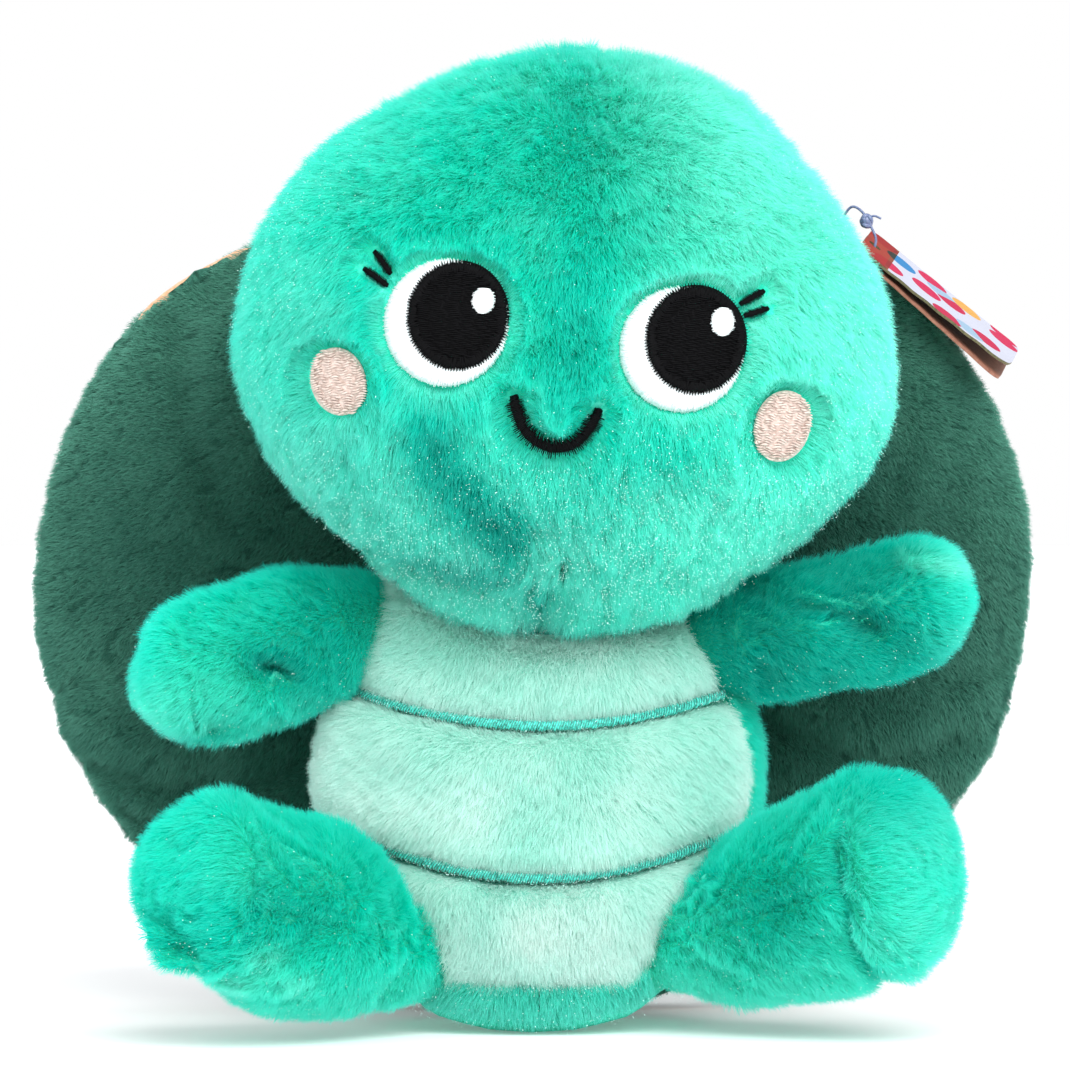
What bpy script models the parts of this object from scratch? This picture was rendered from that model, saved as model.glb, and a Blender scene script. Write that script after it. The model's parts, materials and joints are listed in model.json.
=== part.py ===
# Plush turtle, seated, with a big round padded shell on its back.
#
# Units are metres in Blender; the dimensions below are written in millimetres
# and multiplied by MM.  +Z is up, the face looks along -Y, and +X is on the
# viewer's right.  The origin is on the floor under the middle of the toy.
#
# Every stuffed form is a UV sphere mapped onto a smooth formula: a skin is
# the shell between two such forms, cut into its sewn panels by planes and
# outlines, and the stuffing is a smaller form inside.  The surfaces here are
# the backing cloth that the pile grows from.

import bpy
import bmesh
import math
from mathutils import Matrix, Vector

MM = 0.001

# ---------------------------------------------------------------- dimensions
SHIFT_X, SHIFT_Y, SHIFT_Z = 0.3, -3.1, 0.0   # puts the origin under the box's middle

GAP = 0.3                    # clearance between pieces that touch
SKIN = 2.0                   # thickness of the sewn cloth

# head
HEAD_C = (7.7, -24.0, 166.0)      # middle of the widest section
HEAD_A = 78.5                # half width
HEAD_BF, HEAD_BB = 56.0, 46.0     # half depth, face side and back side
HEAD_CU, HEAD_CL = 76.0, 63.0     # height above and below the widest section
HEAD_NL = 1.68               # the lower half is a little pointed
HEAD_ROLL = math.radians(5.5)     # leans to the viewer's right
HEAD_YAW = math.radians(2.5)
HEAD_ROOM = 7.1              # the body keeps this far from the head, so that it can turn
HEAD_SEAM_Y = 4.0            # face panel in front of this, back panels behind

# neck
NECK = (2.0, -4.0, 107.0)
NECK_CORE_R, NECK_SLEEVE_R0, NECK_SLEEVE_R = 11.0, 12.6, 18.0
NECK_POCKET_R = 19.2

# body: height, half width, front depth, back depth
BODY_X = 1.3
BODY_RINGS = [
    (0.0, 29.0, 21.0, 21.0),
    (1.6, 38.0, 27.0, 26.0),
    (6.0, 44.0, 31.0, 29.0),
    (16.0, 48.5, 35.5, 32.0),
    (30.0, 51.0, 38.0, 34.0),
    (48.0, 52.5, 39.0, 35.5),
    (66.0, 52.5, 38.0, 36.0),
    (84.0, 50.0, 35.0, 35.5),
    (99.0, 46.0, 31.0, 33.5),
    (111.0, 40.0, 27.0, 30.0),
    (119.0, 31.0, 22.0, 25.0),
    (124.0, 18.0, 14.0, 16.0),
]
BODY_TOP = 125.5
# mint belly panel: outline of its seam seen from the front (x, z)
BELLY = [(-25.0, 9.5), (-28.5, 20.0), (-34.0, 31.0), (-45.5, 44.0), (-49.5, 52.0),
         (-50.0, 66.0), (-47.5, 80.0), (-42.0, 94.0), (-38.0, 108.0), (-34.0, 126.0),
         (38.0, 126.0), (42.0, 108.0), (45.0, 94.0), (49.0, 80.0), (51.5, 66.0),
         (51.5, 52.0), (48.0, 44.0), (38.0, 34.0), (31.5, 20.0), (28.0, 9.5)]
BASE_TOP = 3.6               # base panel below, side panels above

# satin lines across the belly: (x, z) of their ends and middle
LINE_UPPER = ((-41.0, 82.0), (1.5, 75.2), (46.5, 82.6))
LINE_LOWER = ((-39.0, 47.4), (-2.0, 37.6), (42.0, 48.4))
LINE_W, LINE_H = 2.1, 1.0

# shell cushion
SHELL_C = (-0.3, 50.0, 110.7)
SHELL_A = 126.8
SHELL_BU, SHELL_BL = 113.5, 107.9
SHELL_FRONT, SHELL_BACK = 15.0, 42.0    # crown of the two faces
PIPING_R = 1.5
PIPING_Y = 2.4               # seam sits this far behind the middle of the rim

# limbs: pivot, spine, vertical and sideways radius along it, end cap depth, and
# how fast the room cut for the limb widens with the distance from the pivot
ARM_L = dict(r0=13.0, spine=[(-44.0, -8.0, 99.0), (-59.0, -15.0, 95.5), (-73.0, -21.0, 92.0), (-86.0, -26.0, 88.0)],
             rn=[13.0, 17.0, 16.5, 15.0], rb=[13.0, 14.0, 13.5, 12.0], cap=12.0, lift=0.48, swing=0.36)
ARM_R = dict(r0=12.0, spine=[(46.5, -8.0, 96.5), (62.0, -13.0, 99.5), (79.0, -17.0, 103.0), (95.5, -20.0, 107.0)],
             rn=[12.0, 13.6, 13.4, 12.6], rb=[12.0, 12.5, 12.2, 11.5], cap=11.5, lift=0.60, swing=0.36)
LEG_L = dict(r0=12.0, spine=[(-31.0, -25.0, 21.5), (-45.0, -39.0, 27.5), (-60.0, -54.0, 32.0), (-77.0, -69.0, 36.5)],
             rn=[12.0, 18.0, 21.6, 22.6], rb=[12.0, 17.0, 20.0, 20.0], cap=10.5, lift=0.42, swing=0.22)
LEG_R = dict(r0=12.0, spine=[(35.0, -20.0, 23.0), (51.0, -31.0, 29.0), (67.0, -42.0, 34.5), (85.0, -52.5, 41.0)],
             rn=[12.0, 16.5, 20.0, 22.8], rb=[12.0, 16.0, 19.0, 20.5], cap=11.0, lift=0.42, swing=0.22)
POCKET = 1.3                 # room round a limb's ball in its pocket
ROOT_R, ROOT_HOLE, ROOT_BORE = 5.6, 6.3, 4.6

# embroidery, in the head's own axes (x right, z up, from the head's middle)
EYES = {
    "left": dict(white=(-31.6, 5.6, 14.8, 15.2), black=(-29.1, 7.5, 12.2, 13.3), glint=(-23.5, 11.5, 2.8, 3.2)),
    "right": dict(white=(25.1, 4.6, 15.1, 15.0), black=(28.4, 7.3, 12.5, 13.2), glint=(34.4, 12.2, 2.8, 3.5)),
}
LASHES = {
    "lash_left_upper": ((-50.3, 21.4), (-45.9, 16.2)),
    "lash_left_lower": ((-52.4, 17.0), (-46.4, 13.3)),
    "lash_right_upper": ((44.1, 20.9), (38.4, 17.0)),
    "lash_right_lower": ((45.5, 16.8), (39.7, 14.3)),
}
LASH_W = 1.0
# middle, half sizes, and how far the top leans to the right, in degrees
CHEEKS = {"cheek_left": (-55.9, -10.6, 6.6, 8.3, -20.5), "cheek_right": (52.1, -11.0, 7.2, 8.7, 9.5)}
MOUTH = [(-13.9, -10.4), (-12.8, -14.1), (-10.0, -18.2), (-6.3, -20.4), (-2.7, -21.0),
         (1.1, -20.0), (3.9, -17.5), (5.7, -14.3), (6.6, -11.5)]
MOUTH_W = 1.25

# hang tag
TAG_PIN = (88.2, 46.0, 198.4)      # hole of the card
TAG_DIR = math.radians(-39.0)      # slope of the card, down to the right
TAG_LEN, TAG_WID, TAG_T = 49.5, 35.0, 0.7
TAG_OPEN = math.radians(2.6)       # angle between the two leaves at rest
TAG_LEAN = math.radians(13.5)      # the card's front edge hangs a little lower

# ------------------------------------------------------------------- helpers


def wipe():
    for ob in list(bpy.data.objects):
        bpy.data.objects.remove(ob, do_unlink=True)


wipe()
PARTS = bpy.data.collections.new("plush_turtle")
CUTTERS = bpy.data.collections.new("cutters")
bpy.context.scene.collection.children.link(PARTS)
bpy.context.scene.collection.children.link(CUTTERS)

MATS = {}


def material(name, colour, roughness, metallic=0.0):
    if name not in MATS:
        mat = bpy.data.materials.new(name)
        mat.use_nodes = True
        bsdf = mat.node_tree.nodes["Principled BSDF"]
        bsdf.inputs["Base Color"].default_value = (*colour, 1.0)
        bsdf.inputs["Roughness"].default_value = roughness
        bsdf.inputs["Metallic"].default_value = metallic
        MATS[name] = mat
    return MATS[name]


COLOURS = {
    "turquoise_pile": ((0.01, 0.62, 0.42), 0.9),
    "mint_pile": ((0.42, 0.83, 0.72), 0.9),
    "green_pile": ((0.03, 0.16, 0.11), 0.95),
    "peach_piping": ((0.90, 0.45, 0.22), 0.8),
    "black_thread": ((0.008, 0.008, 0.01), 0.5),
    "white_thread": ((0.86, 0.93, 0.94), 0.5),
    "blush_thread": ((0.80, 0.60, 0.53), 0.55),
    "teal_thread": ((0.06, 0.60, 0.50), 0.45),
    "stuffing": ((0.86, 0.86, 0.84), 1.0),
    "backing": ((0.80, 0.80, 0.78), 0.95),
    "pellets": ((0.70, 0.72, 0.74), 0.5),
    "card": ((0.85, 0.80, 0.82), 0.45),
    "nylon": ((0.45, 0.50, 0.80), 0.3),
    "ribbon": ((0.88, 0.88, 0.88), 0.5),
}


def finish(ob, slot, smooth=40.0):
    colour, rough = COLOURS[slot]
    ob.data.materials.clear()
    ob.data.materials.append(material(slot, colour, rough))
    if ob.type == "MESH":
        ob.data.shade_smooth()
        ob.data.set_sharp_from_angle(angle=math.radians(smooth))
    return ob


def shift(p):
    return Vector((p[0] + SHIFT_X, p[1] + SHIFT_Y, p[2] + SHIFT_Z))


def from_bmesh(name, bm, coll, pivot=None):
    """A mesh object from bm, whose points are in mm, with its origin at pivot."""
    at = Vector((0, 0, 0)) if pivot is None else shift(pivot)
    for v in bm.verts:
        v.co = (shift(v.co) - at) * MM
    bm.normal_update()
    bmesh.ops.recalc_face_normals(bm, faces=bm.faces)
    me = bpy.data.meshes.new(name)
    bm.to_mesh(me)
    bm.free()
    ob = bpy.data.objects.new(name, me)
    ob.location = at * MM
    coll.objects.link(ob)
    return ob


def cutter(name, bm):
    ob = from_bmesh(name, bm, CUTTERS)
    ob.hide_render = True
    ob.display_type = "WIRE"
    return ob


def cut(ob, tool, how="DIFFERENCE", solver="EXACT"):
    mod = ob.modifiers.new(how.lower() + "_" + tool.name, "BOOLEAN")
    mod.operation = how
    mod.object = tool
    mod.solver = solver
    return ob


def sphere_bm(mapping, segs, rings):
    """A UV sphere of unit radius with every point moved by mapping."""
    bm = bmesh.new()
    bmesh.ops.create_uvsphere(bm, u_segments=segs, v_segments=rings, radius=1.0)
    for v in bm.verts:
        v.co = Vector(mapping(v.co.copy()))
    return bm


def box_bm(lo, hi, turn=None, about=(0, 0, 0)):
    bm = bmesh.new()
    bmesh.ops.create_cube(bm, size=1.0)
    c = [(a + b) / 2 for a, b in zip(lo, hi)]
    s = [b - a for a, b in zip(lo, hi)]
    for v in bm.verts:
        p = Vector([c[i] + s[i] * v.co[i] for i in range(3)])
        if turn is not None:
            p = Vector(about) + turn @ p
        v.co = p
    return bm


def ball_bm(centre, r, segs=20, rings=12, turn=None):
    turn = Matrix.Identity(3) if turn is None else turn
    return sphere_bm(lambda u: Vector(centre) + turn @ u * r, segs, rings)


def lerp_table(table, z):
    """Smooth (monotone cubic) reading of a table of rows sorted by the first value."""
    n = len(table)
    if z <= table[0][0]:
        return list(table[0][1:])
    if z >= table[-1][0]:
        return list(table[-1][1:])
    i = max(k for k in range(n - 1) if table[k][0] <= z)
    z0, z1 = table[i][0], table[i + 1][0]
    h = z1 - z0
    t = (z - z0) / h
    out = []
    for c in range(1, len(table[0])):
        def slope(k):
            if k == 0:
                return (table[1][c] - table[0][c]) / (table[1][0] - table[0][0])
            if k == n - 1:
                return (table[-1][c] - table[-2][c]) / (table[-1][0] - table[-2][0])
            a = (table[k][c] - table[k - 1][c]) / (table[k][0] - table[k - 1][0])
            b = (table[k + 1][c] - table[k][c]) / (table[k + 1][0] - table[k][0])
            return 0.0 if a * b <= 0 else 2 * a * b / (a + b)
        p0, p1 = table[i][c], table[i + 1][c]
        m0, m1 = slope(i) * h, slope(i + 1) * h
        out.append((2 * t**3 - 3 * t**2 + 1) * p0 + (t**3 - 2 * t**2 + t) * m0
                   + (-2 * t**3 + 3 * t**2) * p1 + (t**3 - t**2) * m1)
    return out


# ---------------------------------------------------------------- head form
HEAD_ROT = Matrix.Rotation(HEAD_YAW, 3, "Z") @ Matrix.Rotation(HEAD_ROLL, 3, "Y")


def head_world(p):
    return Vector(HEAD_C) + HEAD_ROT @ Vector(p)


def head_map(off):
    def mapping(u):
        n = 2.0 if u.z >= 0 else HEAD_NL
        c = (HEAD_CU if u.z >= 0 else HEAD_CL) + off
        flat = math.hypot(u.x, u.y)
        rho = flat ** (2.0 / n)
        z = math.copysign(c * abs(u.z) ** (2.0 / n), u.z)
        if flat < 1e-9:
            return head_world((0, 0, z))
        cx, cy = u.x / flat, u.y / flat
        b = (HEAD_BF if cy < 0 else HEAD_BB) + off
        return head_world(((HEAD_A + off) * rho * cx, b * rho * cy, z))
    return mapping


def face_y(x, z, off):
    """Depth of the face at (x, z) in the head's axes, for a form grown by off."""
    n = 2.0 if z >= 0 else HEAD_NL
    c = (HEAD_CU if z >= 0 else HEAD_CL) + off
    rho = max(0.0, 1.0 - (abs(z) / c) ** n) ** (1.0 / n)
    inside = max(0.0, rho * rho - (x / (HEAD_A + off)) ** 2)
    return -(HEAD_BF + off) * math.sqrt(inside)


def head_patch(cx, cz, rx, rz, low, high, tilt=0.0, segs=14, rings=6):
    """A thin lens lying on the face: an ellipse seen from the front."""
    ct, st = math.cos(tilt), math.sin(tilt)

    def mapping(u):
        flat = min(1.0, math.hypot(u.x, u.y))
        r = flat ** 0.8
        a, b = (u.x / flat * r * rx, u.y / flat * r * rz) if flat > 1e-9 else (0.0, 0.0)
        x, z = cx + a * ct + b * st, cz - a * st + b * ct
        off = (low + high) / 2 + (high - low) / 2 * u.z
        return head_world((x, face_y(x, z, off), z))
    return sphere_bm(mapping, segs, rings)


# ---------------------------------------------------------------- body form
def body_at(z, off=0.0):
    w, df, db = lerp_table(BODY_RINGS, z)
    if z > BODY_RINGS[-1][0]:
        k = math.sqrt(max(0.0, (BODY_TOP - z) / (BODY_TOP - BODY_RINGS[-1][0])))
        w, df, db = w * k, df * k, db * k
    return w + off, df + off, db + off


def body_map(off, rings):
    def mapping(u):
        k = round(math.acos(max(-1.0, min(1.0, -u.z))) / math.pi * rings)
        if k == 0:
            return (BODY_X, 0.0, -off)
        if k == rings:
            return (BODY_X, 0.0, BODY_TOP + off)
        z = body_height(k, rings)
        w, df, db = body_at(z, 0.0)
        flat = math.hypot(u.x, u.y)
        cx, cy = u.x / flat, u.y / flat
        d = df if cy < 0 else db
        # move out along the section by off, and a little up or down with the slope
        zz = z - off if k == 1 else (z + off * 0.8 if k == rings - 1 else z)
        grow = off * (0.75 if k in (1, rings - 1) else 1.0)
        return (BODY_X + (w + grow) * cx, (d + grow) * cy, zz)
    return mapping


def body_height(k, rings):
    """Height of ring k: the first ring is the edge of the flat seat."""
    if k == 1:
        return BODY_RINGS[0][0]
    t = (k - 1) / (rings - 1)
    return BODY_TOP * (0.5 - 0.5 * math.cos(math.pi * (0.06 + 0.94 * t))) * 0.985 + 0.2


def belly_y(x, z, off):
    w, df, _ = body_at(z, off)
    return -df * math.sqrt(max(0.0, 1.0 - ((x - BODY_X) / w) ** 2))


# --------------------------------------------------------------- shell form
def shell_map(off, nf=2.6, nb=2.25):
    def mapping(u):
        # the sphere's z axis is the shell's depth axis
        n = nf if u.z < 0 else nb
        h = (SHELL_FRONT if u.z < 0 else SHELL_BACK) + off
        flat = math.hypot(u.x, u.y)
        rho = flat ** (2.0 / n)
        depth = math.copysign(h * abs(u.z) ** (2.0 / n), u.z)
        cx, cy = (u.x / flat, u.y / flat) if flat > 1e-9 else (0.0, 0.0)
        b = (SHELL_BU if cy > 0 else SHELL_BL) + off
        return (SHELL_C[0] + (SHELL_A + off) * rho * cx, SHELL_C[1] + depth,
                SHELL_C[2] + b * rho * cy)
    return mapping


def shell_back_y(x, z, off, n=2.25):
    dz = z - SHELL_C[2]
    b = (SHELL_BU if dz > 0 else SHELL_BL) + off
    rho = math.hypot((x - SHELL_C[0]) / (SHELL_A + off), dz / b)
    return SHELL_C[1] + (SHELL_BACK + off) * max(0.0, 1.0 - rho ** n) ** (1.0 / n)


# --------------------------------------------------------------- limb forms
def catmull(points, t):
    n = len(points) - 1
    f = min(max(t, 0.0), 1.0) * n
    i = min(int(f), n - 1)
    f -= i
    p = [Vector(q) if hasattr(q, "__len__") else q for q in points]
    p1, p2 = p[i], p[i + 1]
    p0 = p[i - 1] if i > 0 else p1 * 2 - p2
    p3 = p[i + 2] if i + 2 <= n else p2 * 2 - p1
    return 0.5 * ((2 * p1) + (p2 - p0) * f + (2 * p0 - 5 * p1 + 4 * p2 - p3) * f * f
                  + (3 * p1 - p0 - 3 * p2 + p3) * f ** 3)


def limb_frame(limb, t):
    c = catmull(limb["spine"], t)
    d = (catmull(limb["spine"], min(1.0, t + 0.02)) - catmull(limb["spine"], max(0.0, t - 0.02))).normalized()
    n = (Vector((0, 0, 1)) - d * d.z).normalized()
    return c, d, n, d.cross(n)


def limb_map(limb, off, rings, back=3, front=3):
    """Ring 0 is the root's pole, then `back` rings of the ball, the tube, and the end cap."""
    tube = rings - back - front

    def mapping(u):
        k = round(math.acos(max(-1.0, min(1.0, -u.z))) / math.pi * rings)
        flat = math.hypot(u.x, u.y)
        cx, cy = (u.x / flat, u.y / flat) if 0 < k < rings else (0.0, 0.0)
        if k <= back:
            c, d, n, b = limb_frame(limb, 0.0)
            a = math.pi / 2 * k / back
            r = limb["r0"] + off
            return c - d * (r * math.cos(a)) + (n * cy + b * cx) * (r * math.sin(a))
        if k >= back + tube:
            c, d, n, b = limb_frame(limb, 1.0)
            a = math.pi / 2 * (k - back - tube) / front
            rn, rb = limb["rn"][-1] + off, limb["rb"][-1] + off
            s = math.cos(a) ** 0.85 if k < rings else 0.0
            return c + d * ((limb["cap"] + off) * math.sin(a)) + n * (cy * rn * s) + b * (cx * rb * s)
        t = (k - back) / tube
        c, d, n, b = limb_frame(limb, t)
        rn, rb = catmull(limb["rn"], t) + off, catmull(limb["rb"], t) + off
        return c + n * (cy * rn) + b * (cx * rb)
    return mapping


def limb_room(limb):
    """The limb's form grown by the pocket's clearance, and flared for its swing."""
    wide = dict(limb)
    far = [(Vector(q) - Vector(limb["spine"][0])).length for q in limb["spine"]]
    wide["r0"] = limb["r0"] + POCKET
    wide["rn"] = [r + POCKET + s * limb["lift"] for r, s in zip(limb["rn"], far)]
    wide["rb"] = [r + POCKET + s * limb["swing"] for r, s in zip(limb["rb"], far)]
    return wide


def stroke_bm(path, side, up, width, height, segs=6, rings=16):
    """A flattened round-ended stroke along path(t); side(t) and up(t) give its axes."""
    ends = 2
    tube = rings - 2 * ends

    def mapping(u):
        k = round(math.acos(max(-1.0, min(1.0, -u.z))) / math.pi * rings)
        flat = math.hypot(u.x, u.y)
        cx, cy = (u.x / flat, u.y / flat) if 0 < k < rings else (0.0, 0.0)
        if k < ends:
            t, a = 0.0, math.pi / 2 * k / ends
        elif k > rings - ends:
            t, a = 1.0, math.pi / 2 * (rings - k) / ends
        else:
            t, a = (k - ends) / tube, math.pi / 2
        c = path(t)
        d = (path(min(1.0, t + 0.01)) - path(max(0.0, t - 0.01))).normalized()
        push = -math.cos(a) if t == 0.0 else (math.cos(a) if t == 1.0 else 0.0)
        s, n = side(t), up(t)
        return c + d * (push * width) + s * (cx * width * math.sin(a)) + n * (cy * height * math.sin(a))
    return sphere_bm(mapping, segs, rings)


# ------------------------------------------------------------------- cutters
HEAD_SEGS, HEAD_RINGS = 20, 12
head_inner = cutter("head_inner", sphere_bm(head_map(-SKIN), HEAD_SEGS, HEAD_RINGS))
head_room = cutter("head_room", sphere_bm(head_map(HEAD_ROOM), 18, 12))
neck_pocket = cutter("neck_pocket", ball_bm(NECK, NECK_POCKET_R, 16, 10))

BODY_SEGS, BODY_RN = 20, 12
body_inner = cutter("body_inner", sphere_bm(body_map(-SKIN, BODY_RN), BODY_SEGS, BODY_RN))
body_room = cutter("body_room", sphere_bm(body_map(0.5, BODY_RN), BODY_SEGS, BODY_RN))

SHELL_SEGS, SHELL_RINGS = 24, 12


def shell_bm(off, segs=SHELL_SEGS, rings=SHELL_RINGS):
    return sphere_bm(shell_map(off), segs, rings)


shell_inner = cutter("shell_inner", shell_bm(-SKIN))


def prism(name, outline, y0, y1, grow=0.0):
    """The belly outline as a slab from y0 to y1: a 2D curve with thickness, made a mesh."""
    cx = sum(p[0] for p in outline) / len(outline)
    cz = sum(p[1] for p in outline) / len(outline)
    cu = bpy.data.curves.new(name + "_curve", "CURVE")
    cu.dimensions = "2D"
    cu.fill_mode = "BOTH"
    cu.extrude = (y1 - y0) / 2
    sp = cu.splines.new("POLY")
    sp.points.add(len(outline) - 1)
    for pt, (x, z) in zip(sp.points, outline):
        d = Vector((x - cx, z - cz))
        d = d.normalized() * (d.length + grow)
        pt.co = (cx + d.x, cz + d.y, 0.0, 1.0)
    sp.use_cyclic_u = True
    tmp = bpy.data.objects.new(name + "_curve", cu)
    CUTTERS.objects.link(tmp)
    bpy.context.view_layer.update()
    me = bpy.data.meshes.new_from_object(tmp.evaluated_get(bpy.context.evaluated_depsgraph_get()))
    bpy.data.objects.remove(tmp, do_unlink=True)
    bm = bmesh.new()
    bm.from_mesh(me)
    bpy.data.meshes.remove(me)
    bmesh.ops.remove_doubles(bm, verts=bm.verts, dist=1e-4)
    mid = (y0 + y1) / 2
    for v in bm.verts:
        v.co = Vector((v.co.x, mid - v.co.z, v.co.y))
    return cutter(name, bm)


belly_in = prism("belly_outline", BELLY, -90.0, -7.0)
belly_out = prism("belly_outline_grown", BELLY, -90.2, -7.0 + GAP, grow=GAP)

LIMBS = {"arm_left": ARM_L, "arm_right": ARM_R, "leg_left": LEG_L, "leg_right": LEG_R}
pockets = {}
limb_inner = {}
root_rooms = {}
LIMB_SEGS, LIMB_RINGS = 12, 10
for key, limb in LIMBS.items():
    pivot = Vector(limb["spine"][0])
    pockets[key] = cutter(key + "_pocket", sphere_bm(limb_map(limb_room(limb), 0.0, LIMB_RINGS), 14, LIMB_RINGS))
    limb_inner[key] = cutter(key + "_inner", sphere_bm(limb_map(limb, -SKIN, LIMB_RINGS), LIMB_SEGS, LIMB_RINGS))
    # room for the root ball, open towards the body
    _, d, n, b = limb_frame(limb, 0.0)
    hole = ball_bm(pivot, ROOT_HOLE, 10, 6)
    root_rooms[key] = [cutter(key + "_root_room", hole)]
    bore = bmesh.new()
    bmesh.ops.create_cone(bore, cap_ends=True, segments=8, radius1=ROOT_BORE, radius2=ROOT_BORE, depth=30.0)
    turn = Vector((0, 0, 1)).rotation_difference(-d).to_matrix()
    for v in bore.verts:
        v.co = pivot + turn @ (v.co + Vector((0, 0, 15.0)))
    root_rooms[key].append(cutter(key + "_root_bore", bore))

# --------------------------------------------------------------------- head
HEAD_TURN = HEAD_ROT


def head_box(name, lo, hi):
    return cutter(name, box_bm(lo, hi, HEAD_ROT, HEAD_C))


front_zone = head_box("head_front_zone", (-120, -120, -120), (120, HEAD_SEAM_Y, 120))
back_left_zone = head_box("head_back_left_zone", (-120, HEAD_SEAM_Y + GAP, -120), (-GAP / 2, 120, 120))
back_right_zone = head_box("head_back_right_zone", (GAP / 2, HEAD_SEAM_Y + GAP, -120), (120, 120, 120))

for name, zone in (("face_panel", front_zone), ("head_back_left", back_left_zone),
                   ("head_back_right", back_right_zone)):
    ob = from_bmesh(name, sphere_bm(head_map(0.0), HEAD_SEGS, HEAD_RINGS), PARTS, NECK)
    finish(ob, "turquoise_pile")
    cut(ob, zone, "INTERSECT")
    cut(ob, head_inner)
    cut(ob, neck_pocket)

ob = from_bmesh("head_stuffing", sphere_bm(head_map(-4.7), 18, 10), PARTS, NECK)
cut(finish(ob, "stuffing"), neck_pocket)

sheet = head_patch(-2.0, 2.0, 58.0, 30.0, -3.6, -3.1, segs=20, rings=8)
bmesh.ops.triangulate(sheet, faces=sheet.faces)
finish(from_bmesh("face_stabiliser", sheet, PARTS, NECK), "backing")

for side, eye in EYES.items():
    finish(from_bmesh("eye_white_" + side, head_patch(*eye["white"], 0.35, 0.95, segs=16), PARTS, NECK), "white_thread")
    finish(from_bmesh("eye_black_" + side, head_patch(*eye["black"], 1.3, 1.9, segs=16), PARTS, NECK), "black_thread")
    finish(from_bmesh("eye_glint_" + side, head_patch(*eye["glint"], 2.25, 2.75, segs=10, rings=4), PARTS, NECK),
           "white_thread")
for name, (cx, cz, rx, rz, tilt) in CHEEKS.items():
    finish(from_bmesh(name, head_patch(cx, cz, rx, rz, 0.35, 0.95, tilt=math.radians(tilt)), PARTS, NECK),
           "blush_thread")


def face_stroke(points, low, high, width, rings):
    mid = (low + high) / 2

    def path(t):
        p = catmull([Vector((x, 0, z)) for x, z in points], t)
        return head_world((p.x, face_y(p.x, p.z, mid), p.z))

    def up(t):
        p = catmull([Vector((x, 0, z)) for x, z in points], t)
        e = 0.5
        gx = Vector((2 * e, face_y(p.x + e, p.z, mid) - face_y(p.x - e, p.z, mid), 0))
        gz = Vector((0, face_y(p.x, p.z + e, mid) - face_y(p.x, p.z - e, mid), 2 * e))
        return HEAD_ROT @ gx.cross(gz).normalized()

    def side(t):
        d = path(min(1.0, t + 0.01)) - path(max(0.0, t - 0.01))
        return up(t).cross(d).normalized()
    return stroke_bm(path, side, up, width, (high - low) / 2, rings=rings)


finish(from_bmesh("mouth", face_stroke(MOUTH, 0.35, 1.25, MOUTH_W, 16), PARTS, NECK), "black_thread")
for name, ends in LASHES.items():
    finish(from_bmesh(name, face_stroke(list(ends), 0.35, 1.15, LASH_W, 6), PARTS, NECK), "black_thread")

# --------------------------------------------------------------------- neck
core = from_bmesh("neck_core", ball_bm(NECK, NECK_CORE_R, 12, 8), PARTS, NECK)
finish(core, "stuffing")
sleeve = from_bmesh("neck_sleeve", ball_bm(NECK, NECK_SLEEVE_R, 12, 8), PARTS, NECK)
finish(sleeve, "turquoise_pile")
sleeve_room = cutter("neck_sleeve_room", ball_bm(NECK, NECK_SLEEVE_R0, 10, 6))
sleeve_bore = bmesh.new()
bmesh.ops.create_cone(sleeve_bore, cap_ends=True, segments=10, radius1=8.0, radius2=8.0, depth=60.0)
for v in sleeve_bore.verts:
    v.co += Vector(NECK)
sleeve_bore = cutter("neck_sleeve_bore", sleeve_bore)
cut(cut(sleeve, sleeve_room), sleeve_bore)

# --------------------------------------------------------------------- body
BIG = 200.0
left_zone = cutter("body_left_zone", box_bm((-BIG, -BIG, BASE_TOP + GAP), (BODY_X - GAP / 2, BIG, BIG)))
right_zone = cutter("body_right_zone", box_bm((BODY_X + GAP / 2, -BIG, BASE_TOP + GAP), (BIG, BIG, BIG)))
base_zone = cutter("body_base_zone", box_bm((-BIG, -BIG, -5.0), (BIG, BIG, BASE_TOP)))


def body_skin(name):
    return from_bmesh(name, sphere_bm(body_map(0.0, BODY_RN), BODY_SEGS, BODY_RN), PARTS)


belly = finish(body_skin("belly_panel"), "mint_pile")
cut(belly, belly_in, "INTERSECT")
for tool in (head_room, *pockets.values(), body_inner):
    cut(belly, tool)

for name, zone, mine in (("body_back_left", left_zone, ("arm_left", "leg_left")),
                         ("body_back_right", right_zone, ("arm_right", "leg_right"))):
    ob = finish(body_skin(name), "turquoise_pile")
    cut(ob, zone, "INTERSECT")
    for tool in (head_room, pockets[mine[0]], pockets[mine[1]], belly_out, body_inner):
        cut(ob, tool, solver="MANIFOLD")      # the exact solver loses the right panel here

base = finish(body_skin("body_base_panel"), "turquoise_pile")
cut(base, base_zone, "INTERSECT")
cut(base, body_inner)

POUCH_TOP = 17.0
stuff_zone = cutter("body_stuffing_zone", box_bm((-BIG, -BIG, POUCH_TOP + GAP), (BIG, BIG, BIG)))
stuffing = from_bmesh("body_stuffing", sphere_bm(body_map(-SKIN - 1.1, BODY_RN), 16, BODY_RN), PARTS)
finish(stuffing, "stuffing")
cut(stuffing, stuff_zone, "INTERSECT")
for tool in (head_room, neck_pocket, *pockets.values()):
    cut(stuffing, tool)


def pouch_map(u):
    n = 2.6
    flat = math.hypot(u.x, u.y)
    rho = flat ** (2.0 / n)
    cx, cy = (u.x / flat, u.y / flat) if flat > 1e-9 else (0.0, 0.0)
    return (BODY_X + 27.0 * rho * cx, 5.0 + 17.0 * rho * cy,
            9.9 + math.copysign(6.7 * abs(u.z) ** (2.0 / n), u.z))


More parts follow.
